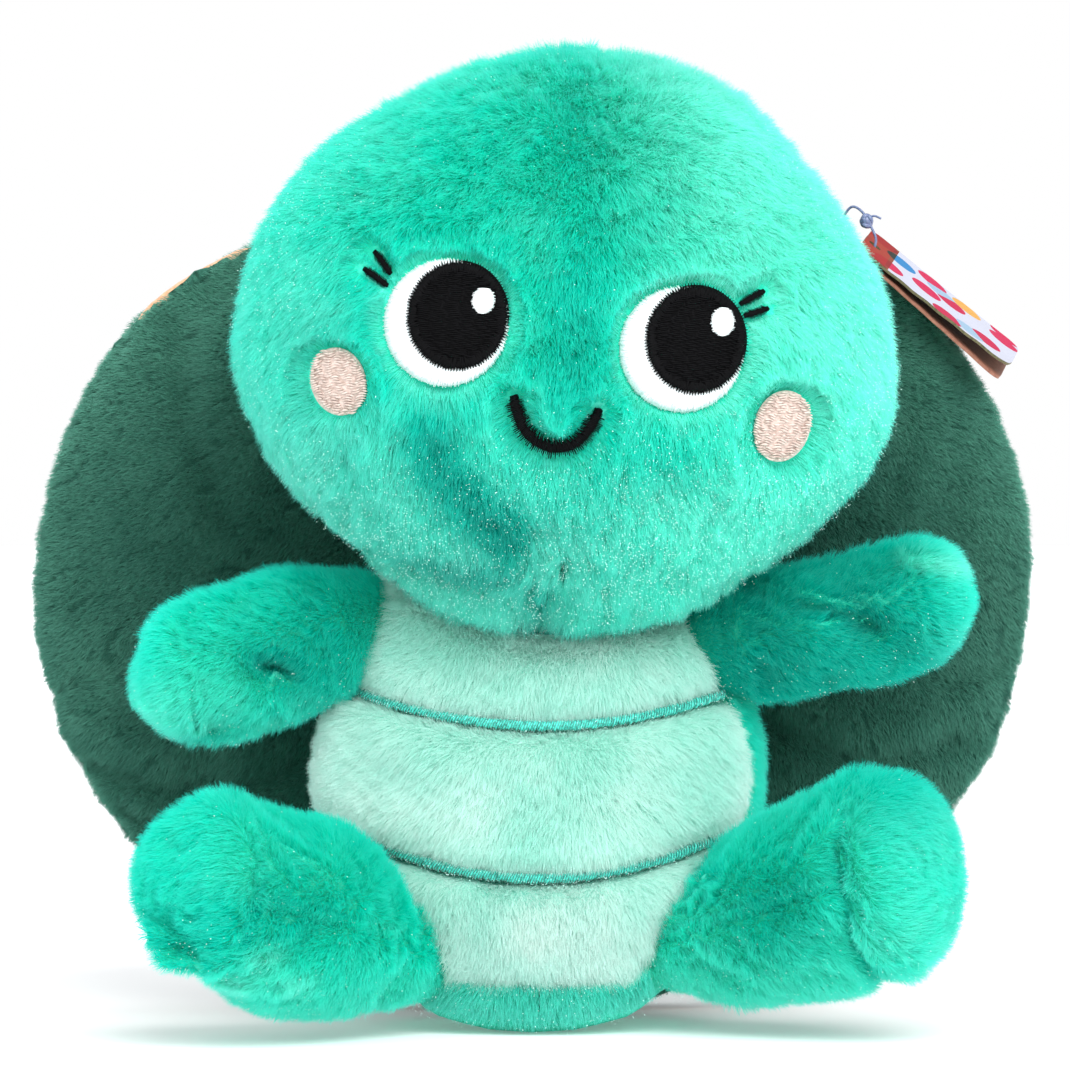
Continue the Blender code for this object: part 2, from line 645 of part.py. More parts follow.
pouch = finish(from_bmesh("pellet_pouch", sphere_bm(pouch_map, 14, 6), PARTS), "pellets")
cut(cut(pouch, pockets["leg_left"]), pockets["leg_right"])


def belly_stroke(name, pts):
    lift = 0.45 + LINE_H / 2

    def path(t):
        a, m, b = (Vector(p) for p in pts)
        q = a * ((1 - t) ** 2) + (m * 2 - (a + b) * 0.5) * (2 * t * (1 - t)) + b * (t * t)
        return Vector((q.x, belly_y(q.x, q.y, lift), q.y))

    def up(t):
        p = path(t)
        e = 1.0
        gx = Vector((2 * e, belly_y(p.x + e, p.z, lift) - belly_y(p.x - e, p.z, lift), 0))
        gz = Vector((0, belly_y(p.x, p.z + e, lift) - belly_y(p.x, p.z - e, lift), 2 * e))
        return gx.cross(gz).normalized()

    def side(t):
        d = path(min(1.0, t + 0.01)) - path(max(0.0, t - 0.01))
        return up(t).cross(d).normalized()
    finish(from_bmesh(name, stroke_bm(path, side, up, LINE_W / 2, LINE_H / 2, rings=16), PARTS), "teal_thread")


belly_stroke("belly_line_upper", LINE_UPPER)
belly_stroke("belly_line_lower", LINE_LOWER)

# -------------------------------------------------------------------- limbs


def plane_box(centre, normal, thick, offset, size=150.0):
    """A box whose one face is the plane through centre, offset along normal."""
    turn = Vector((0, 0, 1)).rotation_difference(Vector(normal).normalized()).to_matrix()
    return box_bm((-size, -size, offset), (size, size, offset + thick), turn, centre)


for key, limb in LIMBS.items():
    pivot = Vector(limb["spine"][0])
    end = Vector(limb["spine"][-1])
    mid = (pivot + end) / 2
    along = (end - pivot).normalized()
    up = (Vector((0, 0, 1)) - along * along.z).normalized()
    out = along.cross(up)
    if out.y > 0:
        out = -out
    arm = key.startswith("arm")
    normal = out if arm else up
    names = (key + "_front", key + "_back") if arm else (key + "_upper", key + "_under")
    zones = (cutter(key + "_zone_a", plane_box(pivot, normal, 150.0, GAP / 2)),
             cutter(key + "_zone_b", plane_box(pivot, -normal, 150.0, GAP / 2)))
    sole_zone = None
    if not arm:
        sole_zone = cutter(key + "_sole_zone", plane_box(end, along, 60.0, 2.5))
        rest_zone = cutter(key + "_rest_zone", plane_box(end, -along, 200.0, -2.5 + GAP))
    for name, zone in zip(names, zones):
        ob = from_bmesh(name, sphere_bm(limb_map(limb, 0.0, LIMB_RINGS), LIMB_SEGS, LIMB_RINGS), PARTS, pivot)
        finish(ob, "turquoise_pile")
        cut(ob, zone, "INTERSECT")
        if sole_zone is not None:
            cut(ob, rest_zone, "INTERSECT")
        cut(ob, limb_inner[key])
        cut(ob, root_rooms[key][1])
    if sole_zone is not None:
        ob = from_bmesh(key + "_sole", sphere_bm(limb_map(limb, 0.0, LIMB_RINGS), LIMB_SEGS, LIMB_RINGS), PARTS, pivot)
        finish(ob, "turquoise_pile")
        cut(ob, sole_zone, "INTERSECT")
        cut(ob, limb_inner[key])
    ob = from_bmesh(key + "_stuffing", sphere_bm(limb_map(limb, -SKIN - 0.8, LIMB_RINGS), 8, LIMB_RINGS), PARTS, pivot)
    finish(ob, "stuffing")
    for tool in root_rooms[key]:
        cut(ob, tool)
    finish(from_bmesh(key + "_root", ball_bm(pivot, ROOT_R, 8, 6), PARTS, pivot), "turquoise_pile")

# -------------------------------------------------------------------- shell
seam = SHELL_C[1] + PIPING_Y
front_half = cutter("shell_front_zone", box_bm((-BIG, -BIG, -BIG), (BIG, seam - PIPING_R - 0.25, 2 * BIG)))
back_half = cutter("shell_back_zone", box_bm((-BIG, seam + PIPING_R + 0.25, -BIG), (BIG, BIG, 2 * BIG)))
# the panels are made from a form whose depth runs along the sphere's z axis
for name, zone in (("shell_front_panel", front_half), ("shell_back_panel", back_half)):
    ob = finish(from_bmesh(name, shell_bm(0.0), PARTS), "green_pile")
    cut(ob, zone, "INTERSECT")
    cut(ob, shell_inner)
    if name == "shell_front_panel":
        cut(ob, body_room)
ob = finish(from_bmesh("shell_stuffing", shell_bm(-SKIN - 1.8, 22, 10), PARTS), "stuffing")
cut(ob, body_room)

cu = bpy.data.curves.new("shell_piping", "CURVE")
cu.dimensions = "3D"
cu.bevel_depth = PIPING_R * MM
cu.bevel_resolution = 2
cu.resolution_u = 1
cu.render_resolution_u = 0
sp = cu.splines.new("POLY")
COUNT = 32
sp.points.add(COUNT - 1)
for i, pt in enumerate(sp.points):
    a = 2 * math.pi * i / COUNT
    b = SHELL_BU if math.sin(a) > 0 else SHELL_BL
    p = shift((SHELL_C[0] + (SHELL_A - 0.8) * math.cos(a), seam, SHELL_C[2] + (b - 0.8) * math.sin(a))) * MM
    pt.co = (p.x, p.y, p.z, 1.0)
sp.use_cyclic_u = True
piping = bpy.data.objects.new("shell_piping", cu)
PARTS.objects.link(piping)
finish(piping, "peach_piping")

# blank ribbon label, sewn in the shell's seam at the bottom and lying on the back


def label_map(u):
    x = 34.0 + 7.0 * u.x
    z = 18.5 + 9.0 * u.z
    return (x, shell_back_y(x, z, 1.3 + 0.4 * u.y), z)


bm = bmesh.new()
bmesh.ops.create_cube(bm, size=2.0)
bmesh.ops.subdivide_edges(bm, edges=[e for e in bm.edges if abs(e.verts[0].co.z - e.verts[1].co.z) > 1], cuts=3)
for v in bm.verts:
    v.co = Vector(label_map(v.co))
finish(from_bmesh("care_label", bm, PARTS), "ribbon", 60)

# ----------------------------------------------------------------- hang tag
pin = Vector(TAG_PIN)
TAG_TURN = Matrix.Rotation(-TAG_DIR, 3, "Y") @ Matrix.Rotation(TAG_LEAN, 3, "X")


def tag_leaf(name, swing, low):
    """A card leaf from the pin outward, its face along Y, with rounded corners."""
    cu = bpy.data.curves.new(name + "_curve", "CURVE")
    cu.dimensions = "2D"
    cu.fill_mode = "BOTH"
    cu.extrude = TAG_T / 2
    sp = cu.splines.new("POLY")
    r, pts = 4.0, []
    x0, x1, w = -3.0, TAG_LEN - 3.0, TAG_WID / 2
    for cx, cy, a0 in ((x1 - r, w - r, 0), (x0 + r, w - r, 90), (x0 + r, -w + r, 180), (x1 - r, -w + r, 270)):
        for k in range(4):
            a = math.radians(a0 + 30 * k)
            pts.append((cx + r * math.cos(a), cy + r * math.sin(a)))
    sp.points.add(len(pts) - 1)
    for pt, (x, y) in zip(sp.points, pts):
        pt.co = (x, y, 0.0, 1.0)
    sp.use_cyclic_u = True
    tmp = bpy.data.objects.new(name + "_curve", cu)
    CUTTERS.objects.link(tmp)
    bpy.context.view_layer.update()
    me = bpy.data.meshes.new_from_object(tmp.evaluated_get(bpy.context.evaluated_depsgraph_get()))
    bpy.data.objects.remove(tmp, do_unlink=True)
    bm = bmesh.new()
    bm.from_mesh(me)
    bpy.data.meshes.remove(me)
    bmesh.ops.remove_doubles(bm, verts=bm.verts, dist=1e-4)
    turn = TAG_TURN @ Matrix.Rotation(-swing, 3, "Y")
    for v in bm.verts:
        v.co = pin + turn @ (v.co + Vector((0, 0, low)))
    ob = finish(from_bmesh(name, bm, PARTS, TAG_PIN), "card", 30)
    return ob


hole = bmesh.new()
bmesh.ops.create_cone(hole, cap_ends=True, segments=12, radius1=1.9, radius2=1.9, depth=20.0)
for v in hole.verts:
    v.co = pin + TAG_TURN @ v.co
tag_hole = cutter("tag_hole", hole)
cut(tag_leaf("tag_cover_leaf", 0.0, 0.75), tag_hole)
cut(tag_leaf("tag_back_leaf", -TAG_OPEN, -0.75), tag_hole)

# nylon fastener: a loop from the shell's seam, up through the card's hole
loop_pts = [(79.7, 52.4, 200.8), (80.5, 51.0, 206.0), (82.8, 48.8, 209.2), (85.6, 47.2, 207.6),
            (87.8, 46.2, 203.6), (88.9, 45.8, 200.2), (87.3, 46.3, 196.9), (83.9, 47.9, 198.4)]
cu = bpy.data.curves.new("tag_fastener", "CURVE")
cu.dimensions = "3D"
cu.bevel_depth = 0.55 * MM
cu.bevel_resolution = 2
cu.resolution_u = 1
cu.render_resolution_u = 0
sp = cu.splines.new("POLY")
N = 12
sp.points.add(N - 1)
for i, pt in enumerate(sp.points):
    f = i / N * len(loop_pts)
    k = int(f)
    q = [Vector(loop_pts[(k + j) % len(loop_pts)]) for j in (-1, 0, 1, 2)]
    t = f - k
    p = 0.5 * (2 * q[1] + (q[2] - q[0]) * t + (2 * q[0] - 5 * q[1] + 4 * q[2] - q[3]) * t * t
               + (3 * q[1] - q[0] - 3 * q[2] + q[3]) * t ** 3)
    p = shift(p) * MM
    pt.co = (p.x, p.y, p.z, 1.0)
sp.use_cyclic_u = True
fastener = bpy.data.objects.new("tag_fastener", cu)
PARTS.objects.link(fastener)
finish(fastener, "nylon")
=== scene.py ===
# Looks of the seated plush turtle: sewn panels with real pile, thread embroidery,
# piping and a hang tag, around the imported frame.
#
# Lengths are in millimetres until a mesh is made.  Forms are the same formulas
# as the CAD source's, at a finer pitch, then shaped by a cloth simulation and by
# seams, tufts and dimples.

import json
import math

import bpy
import numpy as np
from mathutils import Matrix, Vector
from mathutils.kdtree import KDTree


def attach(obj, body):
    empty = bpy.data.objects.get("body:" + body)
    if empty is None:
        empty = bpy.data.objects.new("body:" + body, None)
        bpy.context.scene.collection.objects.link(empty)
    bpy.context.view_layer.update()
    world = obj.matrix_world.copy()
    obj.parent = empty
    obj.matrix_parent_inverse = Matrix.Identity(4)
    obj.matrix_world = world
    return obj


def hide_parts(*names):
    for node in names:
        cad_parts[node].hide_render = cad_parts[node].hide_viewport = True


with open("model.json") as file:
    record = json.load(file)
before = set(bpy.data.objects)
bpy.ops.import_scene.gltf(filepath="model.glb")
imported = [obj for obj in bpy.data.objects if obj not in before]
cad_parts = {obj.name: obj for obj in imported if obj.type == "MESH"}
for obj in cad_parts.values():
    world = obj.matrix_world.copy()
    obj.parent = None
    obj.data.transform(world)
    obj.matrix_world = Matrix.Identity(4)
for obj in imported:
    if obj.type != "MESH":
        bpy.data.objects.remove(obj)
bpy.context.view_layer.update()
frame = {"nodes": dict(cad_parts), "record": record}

MM = 0.001
SHIFT = np.array((0.3, -3.1, 0.0))
HAIR_SHARE = 1.0

# ------------------------------------------------------------ shared dimensions
HEAD_C = np.array((7.7, -24.0, 166.0))
HEAD_A, HEAD_BF, HEAD_BB, HEAD_CU, HEAD_CL, HEAD_NL = 78.5, 56.0, 46.0, 76.0, 63.0, 1.68
HEAD_ROT = np.array(Matrix.Rotation(math.radians(2.5), 3, "Z") @ Matrix.Rotation(math.radians(5.5), 3, "Y"))
HEAD_ROOM = 7.1
HEAD_SEAM_Y = 4.0
HEAD_DART_X = 3.1
NECK = np.array((2.0, -4.0, 107.0))

BODY_X, BODY_TOP = 1.3, 125.5
BODY_RINGS = [
    (0.0, 29.0, 21.0, 21.0), (1.6, 38.0, 27.0, 26.0), (6.0, 44.0, 31.0, 29.0), (16.0, 48.5, 35.5, 32.0),
    (30.0, 51.0, 38.0, 34.0), (48.0, 52.5, 39.0, 35.5), (66.0, 52.5, 38.0, 36.0), (84.0, 50.0, 35.0, 35.5),
    (99.0, 46.0, 31.0, 33.5), (111.0, 40.0, 27.0, 30.0), (119.0, 31.0, 22.0, 25.0), (124.0, 18.0, 14.0, 16.0),
]
BELLY = [(-24.0, 14.0), (-28.0, 23.0), (-34.0, 32.0), (-46.0, 43.0), (-51.0, 51.0),
         (-51.8, 66.0), (-49.5, 80.0), (-43.0, 94.0), (-38.0, 108.0), (-34.0, 126.0),
         (38.0, 126.0), (42.0, 108.0), (45.0, 94.0), (48.6, 80.0), (51.0, 66.0),
         (51.0, 52.0), (47.5, 44.0), (38.0, 34.0), (30.5, 22.5), (23.5, 14.0)]
BASE_TOP = 3.6
LINE_UPPER = ((-44.4, 84.8), (1.5, 76.8), (46.8, 84.2))
LINE_LOWER = ((-48.0, 50.9), (-0.5, 39.4), (46.5, 49.2))
LINE_W = 2.1

SHELL_C = np.array((-0.3, 50.0, 110.7))
SHELL_A, SHELL_BU, SHELL_BL = 126.8, 113.5, 107.9
SHELL_FRONT, SHELL_BACK, SHELL_NF, SHELL_NB = 15.0, 42.0, 2.6, 2.25
PIPING_R, PIPING_Y = 1.5, 2.4
SHELL_SEAM = SHELL_C[1] + PIPING_Y

LIMBS = {
    "arm_left": dict(r0=13.0, spine=[(-44.0, -8.0, 99.0), (-59.0, -15.0, 95.5), (-73.0, -21.0, 92.0), (-86.0, -26.0, 88.0)],
                     rn=[13.0, 17.0, 16.5, 15.0], rb=[13.0, 14.0, 13.5, 12.0], cap=12.0, lift=0.48, swing=0.36),
    "arm_right": dict(r0=12.0, spine=[(46.5, -8.0, 96.5), (62.0, -13.0, 99.5), (79.0, -17.0, 103.0), (95.5, -20.0, 107.0)],
                      rn=[12.0, 13.6, 13.4, 12.6], rb=[12.0, 12.5, 12.2, 11.5], cap=11.5, lift=0.60, swing=0.36),
    "leg_left": dict(r0=12.0, spine=[(-31.0, -25.0, 21.5), (-45.0, -39.0, 27.5), (-60.0, -54.0, 32.0), (-77.0, -69.0, 36.5)],
                     rn=[12.0, 18.0, 21.6, 22.6], rb=[12.0, 17.0, 20.0, 20.0], cap=10.5, lift=0.42, swing=0.22),
    "leg_right": dict(r0=12.0, spine=[(35.0, -20.0, 23.0), (51.0, -31.0, 29.0), (67.0, -42.0, 34.5), (85.0, -52.5, 41.0)],
                      rn=[12.0, 16.5, 20.0, 22.8], rb=[12.0, 16.0, 19.0, 20.5], cap=11.0, lift=0.42, swing=0.22),
}
POCKET = 1.3

EYES = {
    "left": dict(white=(-31.6, 5.6, 14.8, 15.2), black=(-29.1, 7.5, 12.2, 13.3), glint=(-23.4, 11.5, 2.6, 3.2)),
    "right": dict(white=(25.1, 4.6, 15.1, 15.0), black=(28.4, 7.3, 12.5, 13.2), glint=(34.4, 12.2, 2.8, 3.5)),
}
LASHES = {
    "lash_left_upper": ((-50.3, 21.4), (-45.9, 16.2)),
    "lash_left_lower": ((-52.4, 17.0), (-46.4, 13.3)),
    "lash_right_upper": ((44.1, 20.9), (38.4, 17.0)),
    "lash_right_lower": ((45.5, 16.8), (39.7, 14.3)),
}
CHEEKS = {"cheek_left": (-55.9, -10.6, 6.6, 8.3, -20.5), "cheek_right": (52.1, -11.0, 7.2, 8.7, 9.5)}
MOUTH = [(-13.9, -10.4), (-12.8, -14.1), (-10.0, -18.2), (-6.3, -20.4), (-2.7, -21.0),
         (1.1, -20.0), (3.9, -17.5), (5.7, -14.3), (6.6, -11.5)]
MOUTH_W = 1.25
MOUTH = [(x, z - 0.09 * max(0.0, -10.4 - z)) for x, z in MOUTH]

TAG_PIN = np.array((88.2, 46.0, 198.4))
TAG_DIR, TAG_OPEN, TAG_LEAN = math.radians(-39.0), math.radians(2.6), math.radians(13.5)
TAG_LEN, TAG_WID, TAG_T = 49.5, 35.0, 0.7

# ------------------------------------------------------------------ number tools


def unit(v):
    return v / np.maximum(np.linalg.norm(v, axis=-1, keepdims=True), 1e-12)


def step(a, b, x):
    t = np.clip((x - a) / (b - a), 0.0, 1.0)
    return t * t * (3 - 2 * t)


def lattice(ix, iy, iz, seed):
    h = (ix * 374761393 + iy * 668265263 + iz * 1103515245 + seed * 1274126177) & 0xFFFFFFFF
    h = ((h ^ (h >> 13)) * 1274126177) & 0xFFFFFFFF
    h = ((h ^ (h >> 15)) * 668265263) & 0xFFFFFFFF
    return ((h ^ (h >> 16)) & 0xFFFFFF) / float(0xFFFFFF)


def noise(p, size, seed=0):
    """Smooth noise from -1 to 1 with features of `size` mm."""
    q = np.asarray(p, float) / size + 1000.0
    i = np.floor(q).astype(np.int64)
    f = q - i
    f = f * f * (3 - 2 * f)
    out = np.zeros(len(q))
    for dx in (0, 1):
        wx = f[:, 0] if dx else 1 - f[:, 0]
        for dy in (0, 1):
            wy = wx * (f[:, 1] if dy else 1 - f[:, 1])
            for dz in (0, 1):
                w = wy * (f[:, 2] if dz else 1 - f[:, 2])
                out += w * lattice(i[:, 0] + dx, i[:, 1] + dy, i[:, 2] + dz, seed)
    return out * 2 - 1


def noise3(p, size, seed=0):
    return np.stack([noise(p, size, seed + k * 17) for k in range(3)], 1)


def cubic_table(rows, xs):
    """Monotone cubic reading of rows (x, values...) at xs."""
    rows = np.array(rows, float)
    x, y = rows[:, 0], rows[:, 1:]
    d = np.diff(y, axis=0) / np.diff(x)[:, None]
    m = np.zeros_like(y)
    m[0], m[-1] = d[0], d[-1]
    prod = d[:-1] * d[1:]
    total = d[:-1] + d[1:]
    m[1:-1] = np.where(prod > 0, 2 * prod / np.where(np.abs(total) < 1e-12, 1, total), 0)
    xs = np.clip(xs, x[0], x[-1])
    i = np.clip(np.searchsorted(x, xs, "right") - 1, 0, len(x) - 2)
    h = (x[i + 1] - x[i])[:, None]
    t = ((xs - x[i])[:, None]) / h
    return ((2 * t**3 - 3 * t**2 + 1) * y[i] + (t**3 - 2 * t**2 + t) * m[i] * h
            + (-2 * t**3 + 3 * t**2) * y[i + 1] + (t**3 - t**2) * m[i + 1] * h)


def spline(points, t):
    """Catmull-Rom through points, read at t from 0 to 1 (array)."""
    p = np.array(points, float)
    if p.ndim == 1:
        p = p[:, None]
    n = len(p) - 1
    f = np.clip(t, 0, 1) * n
    i = np.minimum(f.astype(int), n - 1)
    f = (f - i)[:, None]
    ext = np.vstack([2 * p[0] - p[1], p, 2 * p[-1] - p[-2]])
    p0, p1, p2, p3 = ext[i], ext[i + 1], ext[i + 2], ext[i + 3]
    return 0.5 * (2 * p1 + (p2 - p0) * f + (2 * p0 - 5 * p1 + 4 * p2 - p3) * f**2 + (3 * p1 - p0 - 3 * p2 + p3) * f**3)


def path_distance(xy, pts):
    """Distance in the plane from xy (N, 2) to a polyline."""
    best = np.full(len(xy), 1e9)
    pts = np.asarray(pts, float)
    for a, b in zip(pts[:-1], pts[1:]):
        ab = b - a
        t = np.clip(((xy - a) @ ab) / max(ab @ ab, 1e-9), 0, 1)
        best = np.minimum(best, np.linalg.norm(xy - a - t[:, None] * ab, axis=1))
    return best


def inside_outline(xy, pts):
    """Signed distance in the plane to a closed outline, positive inside."""
    pts = np.asarray(pts, float)
    closed = np.vstack([pts, pts[:1]])
    d = path_distance(xy, closed)
    odd = np.zeros(len(xy), bool)
    for a, b in zip(closed[:-1], closed[1:]):
        up = (a[1] > xy[:, 1]) != (b[1] > xy[:, 1])
        cross = a[0] + (xy[:, 1] - a[1]) * (b[0] - a[0]) / (b[1] - a[1] if abs(b[1] - a[1]) > 1e-9 else 1e-9)
        odd ^= up & (xy[:, 0] < cross)
    return np.where(odd, d, -d)


# -------------------------------------------------------------------- mesh tools


def ball_grid(nu, nv):
    """Unit directions of a UV sphere with poles on z, and its triangles."""
    th = np.pi * np.arange(1, nv) / nv
    ph = 2 * np.pi * np.arange(nu) / nu
    ring = np.stack([np.outer(np.sin(th), np.cos(ph)), np.outer(np.sin(th), np.sin(ph)),
                     np.repeat(-np.cos(th)[:, None], nu, 1)], -1).reshape(-1, 3)
    verts = np.vstack([[0, 0, -1.0], ring, [0, 0, 1.0]])
    k, j = np.meshgrid(np.arange(nv - 2), np.arange(nu), indexing="ij")
    a = 1 + k * nu + j
    b = 1 + k * nu + (j + 1) % nu
    c, d = a + nu, b + nu
    flip = ((k + j) % 2 == 0)[..., None]
    t1 = np.where(flip, np.stack([a, b, d], -1), np.stack([a, b, c], -1)).reshape(-1, 3)
    t2 = np.where(flip, np.stack([a, d, c], -1), np.stack([b, d, c], -1)).reshape(-1, 3)
    j = np.arange(nu)
    bottom = np.stack([np.zeros(nu, int), 1 + (j + 1) % nu, 1 + j], -1)
    last = 1 + (nv - 2) * nu
    top = np.stack([np.full(nu, len(verts) - 1), last + j, last + (j + 1) % nu], -1)
    return verts, np.vstack([bottom, t1, t2, top])


def normals_of(v, t):
    fn = np.cross(v[t[:, 1]] - v[t[:, 0]], v[t[:, 2]] - v[t[:, 0]])
    n = np.zeros_like(v)
    for k in range(3):
        for c in range(3):
            n[:, c] += np.bincount(t[:, k], fn[:, c], len(v))
    return unit(n)


def compact(v, t, *extra):
    used = np.zeros(len(v), bool)
    used[t] = True
    new = np.cumsum(used) - 1
    return (v[used], new[t]) + tuple(e[used] for e in extra)


def clip(v, t, field, *extra):
    """Keeps the part of a triangle mesh where field >= 0, cutting triangles on its zero line."""
    inside = field >= 0
    count = inside[t].sum(1)
    keep = t[count == 3]
    mixed = t[(count == 1) | (count == 2)]
    if len(mixed) == 0:
        return compact(v, keep, field, *extra)
    ins = inside[mixed]
    # turn each triangle so that its odd corner comes first
    odd = np.where(ins.sum(1) == 1, np.argmax(ins, 1), np.argmin(ins, 1))
    idx = (odd[:, None] + np.arange(3)) % 3
    m = np.take_along_axis(mixed, idx, 1)
    pairs = np.concatenate([m[:, [0, 1]], m[:, [0, 2]]])
    low, high = pairs.min(1), pairs.max(1)
    key = low.astype(np.int64) * len(v) + high
    uniq, inv = np.unique(key, return_inverse=True)
    lo, hi = uniq // len(v), uniq % len(v)
    s = np.clip(field[lo] / (field[lo] - field[hi]), 0.001, 0.999)
    cut = v[lo] + (v[hi] - v[lo]) * s[:, None]
    ids = len(v) + inv
    p, q = ids[: len(m)], ids[len(m):]
    one = inside[m[:, 0]]
    small = np.stack([m[one, 0], p[one], q[one]], 1)
    two = ~one
    quad = np.concatenate([np.stack([p[two], m[two, 1], m[two, 2]], 1), np.stack([p[two], m[two, 2], q[two]], 1)])
    more = [np.concatenate([e, e[lo] + (e[hi] - e[lo]) * (s[:, None] if e.ndim > 1 else s)]) for e in extra]
    return compact(np.vstack([v, cut]), np.vstack([keep, small, quad]),
                   np.concatenate([field, np.zeros(len(cut))]), *more)


def thicken(v, t, n, depth):
    """A closed solid from an open or closed sheet: the inner face lies `depth` mm along -n."""
    inner = v - n * depth
    count = len(v)
    edges = np.concatenate([t[:, [0, 1]], t[:, [1, 2]], t[:, [2, 0]]])
    key = edges[:, 0].astype(np.int64) * count + edges[:, 1]
    back = edges[:, 1].astype(np.int64) * count + edges[:, 0]
    rim = edges[~np.isin(key, back)]
    a, b = rim[:, 0], rim[:, 1]
    walls = np.concatenate([np.stack([b, a, a + count], 1), np.stack([b, a + count, b + count], 1)])
    return np.vstack([v, inner]), np.vstack([t, t[:, ::-1] + count, walls])


def new_mesh(name, v, t, material, smooth=True):
    """An object from points in mm, in the frame of the CAD source, and triangles or quads."""
    me = bpy.data.meshes.new(name)
    co = ((v + SHIFT) * MM).astype(np.float32)
    size = t.shape[1]
    me.vertices.add(len(co))
    me.vertices.foreach_set("co", co.ravel())
    me.loops.add(t.size)
    me.loops.foreach_set("vertex_index", t.astype(np.int32).ravel())
    me.polygons.add(len(t))
    me.polygons.foreach_set("loop_start", np.arange(0, t.size, size, dtype=np.int32))
    me.update(calc_edges=True)
    me.validate(clean_customdata=False)
    if smooth:
        me.polygons.foreach_set("use_smooth", np.ones(len(me.polygons), bool))
    me.materials.append(material)
    ob = bpy.data.objects.new(name, me)
    bpy.context.scene.collection.objects.link(ob)
    return ob


def locks(p, amount, size, seed=5):
    """Locks of pile, longer than they are wide, that run down the cloth."""
    q = p * np.array((1.0, 1.0, 0.5))
    return amount * (noise(q, size, seed) + 0.6 * noise(q, size * 0.6, seed + 1))


class Heap:
    """Collects pieces of mesh (quads as two triangles) that end up as one object."""

    def __init__(self):
        self.v, self.t, self.n = [], [], 0

    def add(self, v, t):
        self.v.append(np.asarray(v, float))
        self.t.append(np.asarray(t, int) + self.n)
        self.n += len(v)

    def arrays(self):
        return np.vstack(self.v), np.vstack(self.t)


def tubes(paths, radii, sides=5, flat=1.0, ups=None):
    """Closed tubes along paths (S, K, 3) with radii (S, K), as points and triangles."""
    paths = np.asarray(paths, float)
    s, k = paths.shape[:2]
    radii = np.broadcast_to(radii, (s, k))
    d = unit(np.gradient(paths, axis=1))
    if ups is None:
        ups = np.broadcast_to(np.array((0.0, -1.0, 0.0)), paths.shape)
    side = unit(np.cross(d, ups))
    up = np.cross(side, d)
    a = 2 * np.pi * np.arange(sides) / sides
    ring = (side[:, :, None] * np.cos(a)[:, None] + up[:, :, None] * (np.sin(a)[:, None] * flat)) * radii[:, :, None, None]
    v = (paths[:, :, None] + ring).reshape(s, k * sides, 3)
    v = np.concatenate([v, paths[:, :1], paths[:, -1:]], 1)
    i, j = np.meshgrid(np.arange(k - 1), np.arange(sides), indexing="ij")
    p = i * sides + j
    q = i * sides + (j + 1) % sides
    body = np.concatenate([np.stack([p, q, q + sides], -1).reshape(-1, 3),
                           np.stack([p, q + sides, p + sides], -1).reshape(-1, 3)])
    j = np.arange(sides)
    first = np.stack([np.full(sides, k * sides), (j + 1) % sides, j], -1)
    base = (k - 1) * sides
    last = np.stack([np.full(sides, k * sides + 1), base + j, base + (j + 1) % sides], -1)
    t = np.concatenate([body, first, last])
    t = t[:, ::-1]
    count = v.shape[1]
    t = (t[None] + (np.arange(s) * count)[:, None, None]).reshape(-1, 3)
    return v.reshape(-1, 3), t


# ------------------------------------------------------------------------- forms


def head_world(p):
    return HEAD_C + np.asarray(p) @ HEAD_ROT.T


def head_local(p):
    return (np.asarray(p) - HEAD_C) @ HEAD_ROT


def head_form(u, off=0.0):
    """The head in its own axes, from unit directions."""
    up = u[:, 2] >= 0
    n = np.where(up, 2.0, HEAD_NL)
    c = np.where(up, HEAD_CU, HEAD_CL) + off
    flat = np.hypot(u[:, 0], u[:, 1])
    rho = flat ** (2.0 / n)
    z = np.sign(u[:, 2]) * c * np.abs(u[:, 2]) ** (2.0 / n)
    safe = np.maximum(flat, 1e-9)
    cx, cy = u[:, 0] / safe, u[:, 1] / safe
    b = np.where(cy < 0, HEAD_BF, HEAD_BB) + off
    return np.stack([(HEAD_A + off) * rho * cx, b * rho * cy, z], 1)


def head_gap(p, off=0.0):
    """About how far p (world, mm) is outside the head's form grown by off."""
    q = head_local(p)
    up = q[:, 2] >= 0
    n = np.where(up, 2.0, HEAD_NL)
    c = np.where(up, HEAD_CU, HEAD_CL) + off
    b = np.where(q[:, 1] < 0, HEAD_BF, HEAD_BB) + off
    rho = np.hypot(q[:, 0] / (HEAD_A + off), q[:, 1] / b)
    r = (rho**n + np.abs(q[:, 2] / c) ** n) ** (1.0 / n)
    return (r - 1) / np.maximum(r, 1e-6) * np.linalg.norm(q, axis=1)


def face_y(x, z, off):
    x, z = np.asarray(x, float), np.asarray(z, float)
    n = np.where(z >= 0, 2.0, HEAD_NL)
    c = np.where(z >= 0, HEAD_CU, HEAD_CL) + off
    rho = np.maximum(0.0, 1.0 - (np.abs(z) / c) ** n) ** (1.0 / n)
    inside = np.maximum(0.0, rho * rho - (x / (HEAD_A + off)) ** 2)
    return -(HEAD_BF + off) * np.sqrt(inside)


def face_point(x, z, off):
    """Points on the face at (x, z) in the head's axes, raised by off; off may be an array."""
    x, z = np.broadcast_arrays(np.asarray(x, float), np.asarray(z, float))
    off = np.broadcast_to(off, x.shape)
    return head_world(np.stack([x, face_y(x, z, off), z], -1))


def face_normal(x, z):
    e = 0.5
    gx = np.stack([np.full(np.shape(x), 2 * e), face_y(x + e, z, 0.0) - face_y(x - e, z, 0.0), np.zeros(np.shape(x))], -1)
    gz = np.stack([np.zeros(np.shape(x)), face_y(x, z + e, 0.0) - face_y(x, z - e, 0.0), np.full(np.shape(x), 2 * e)], -1)
    return unit(np.cross(gx, gz)) @ HEAD_ROT.T


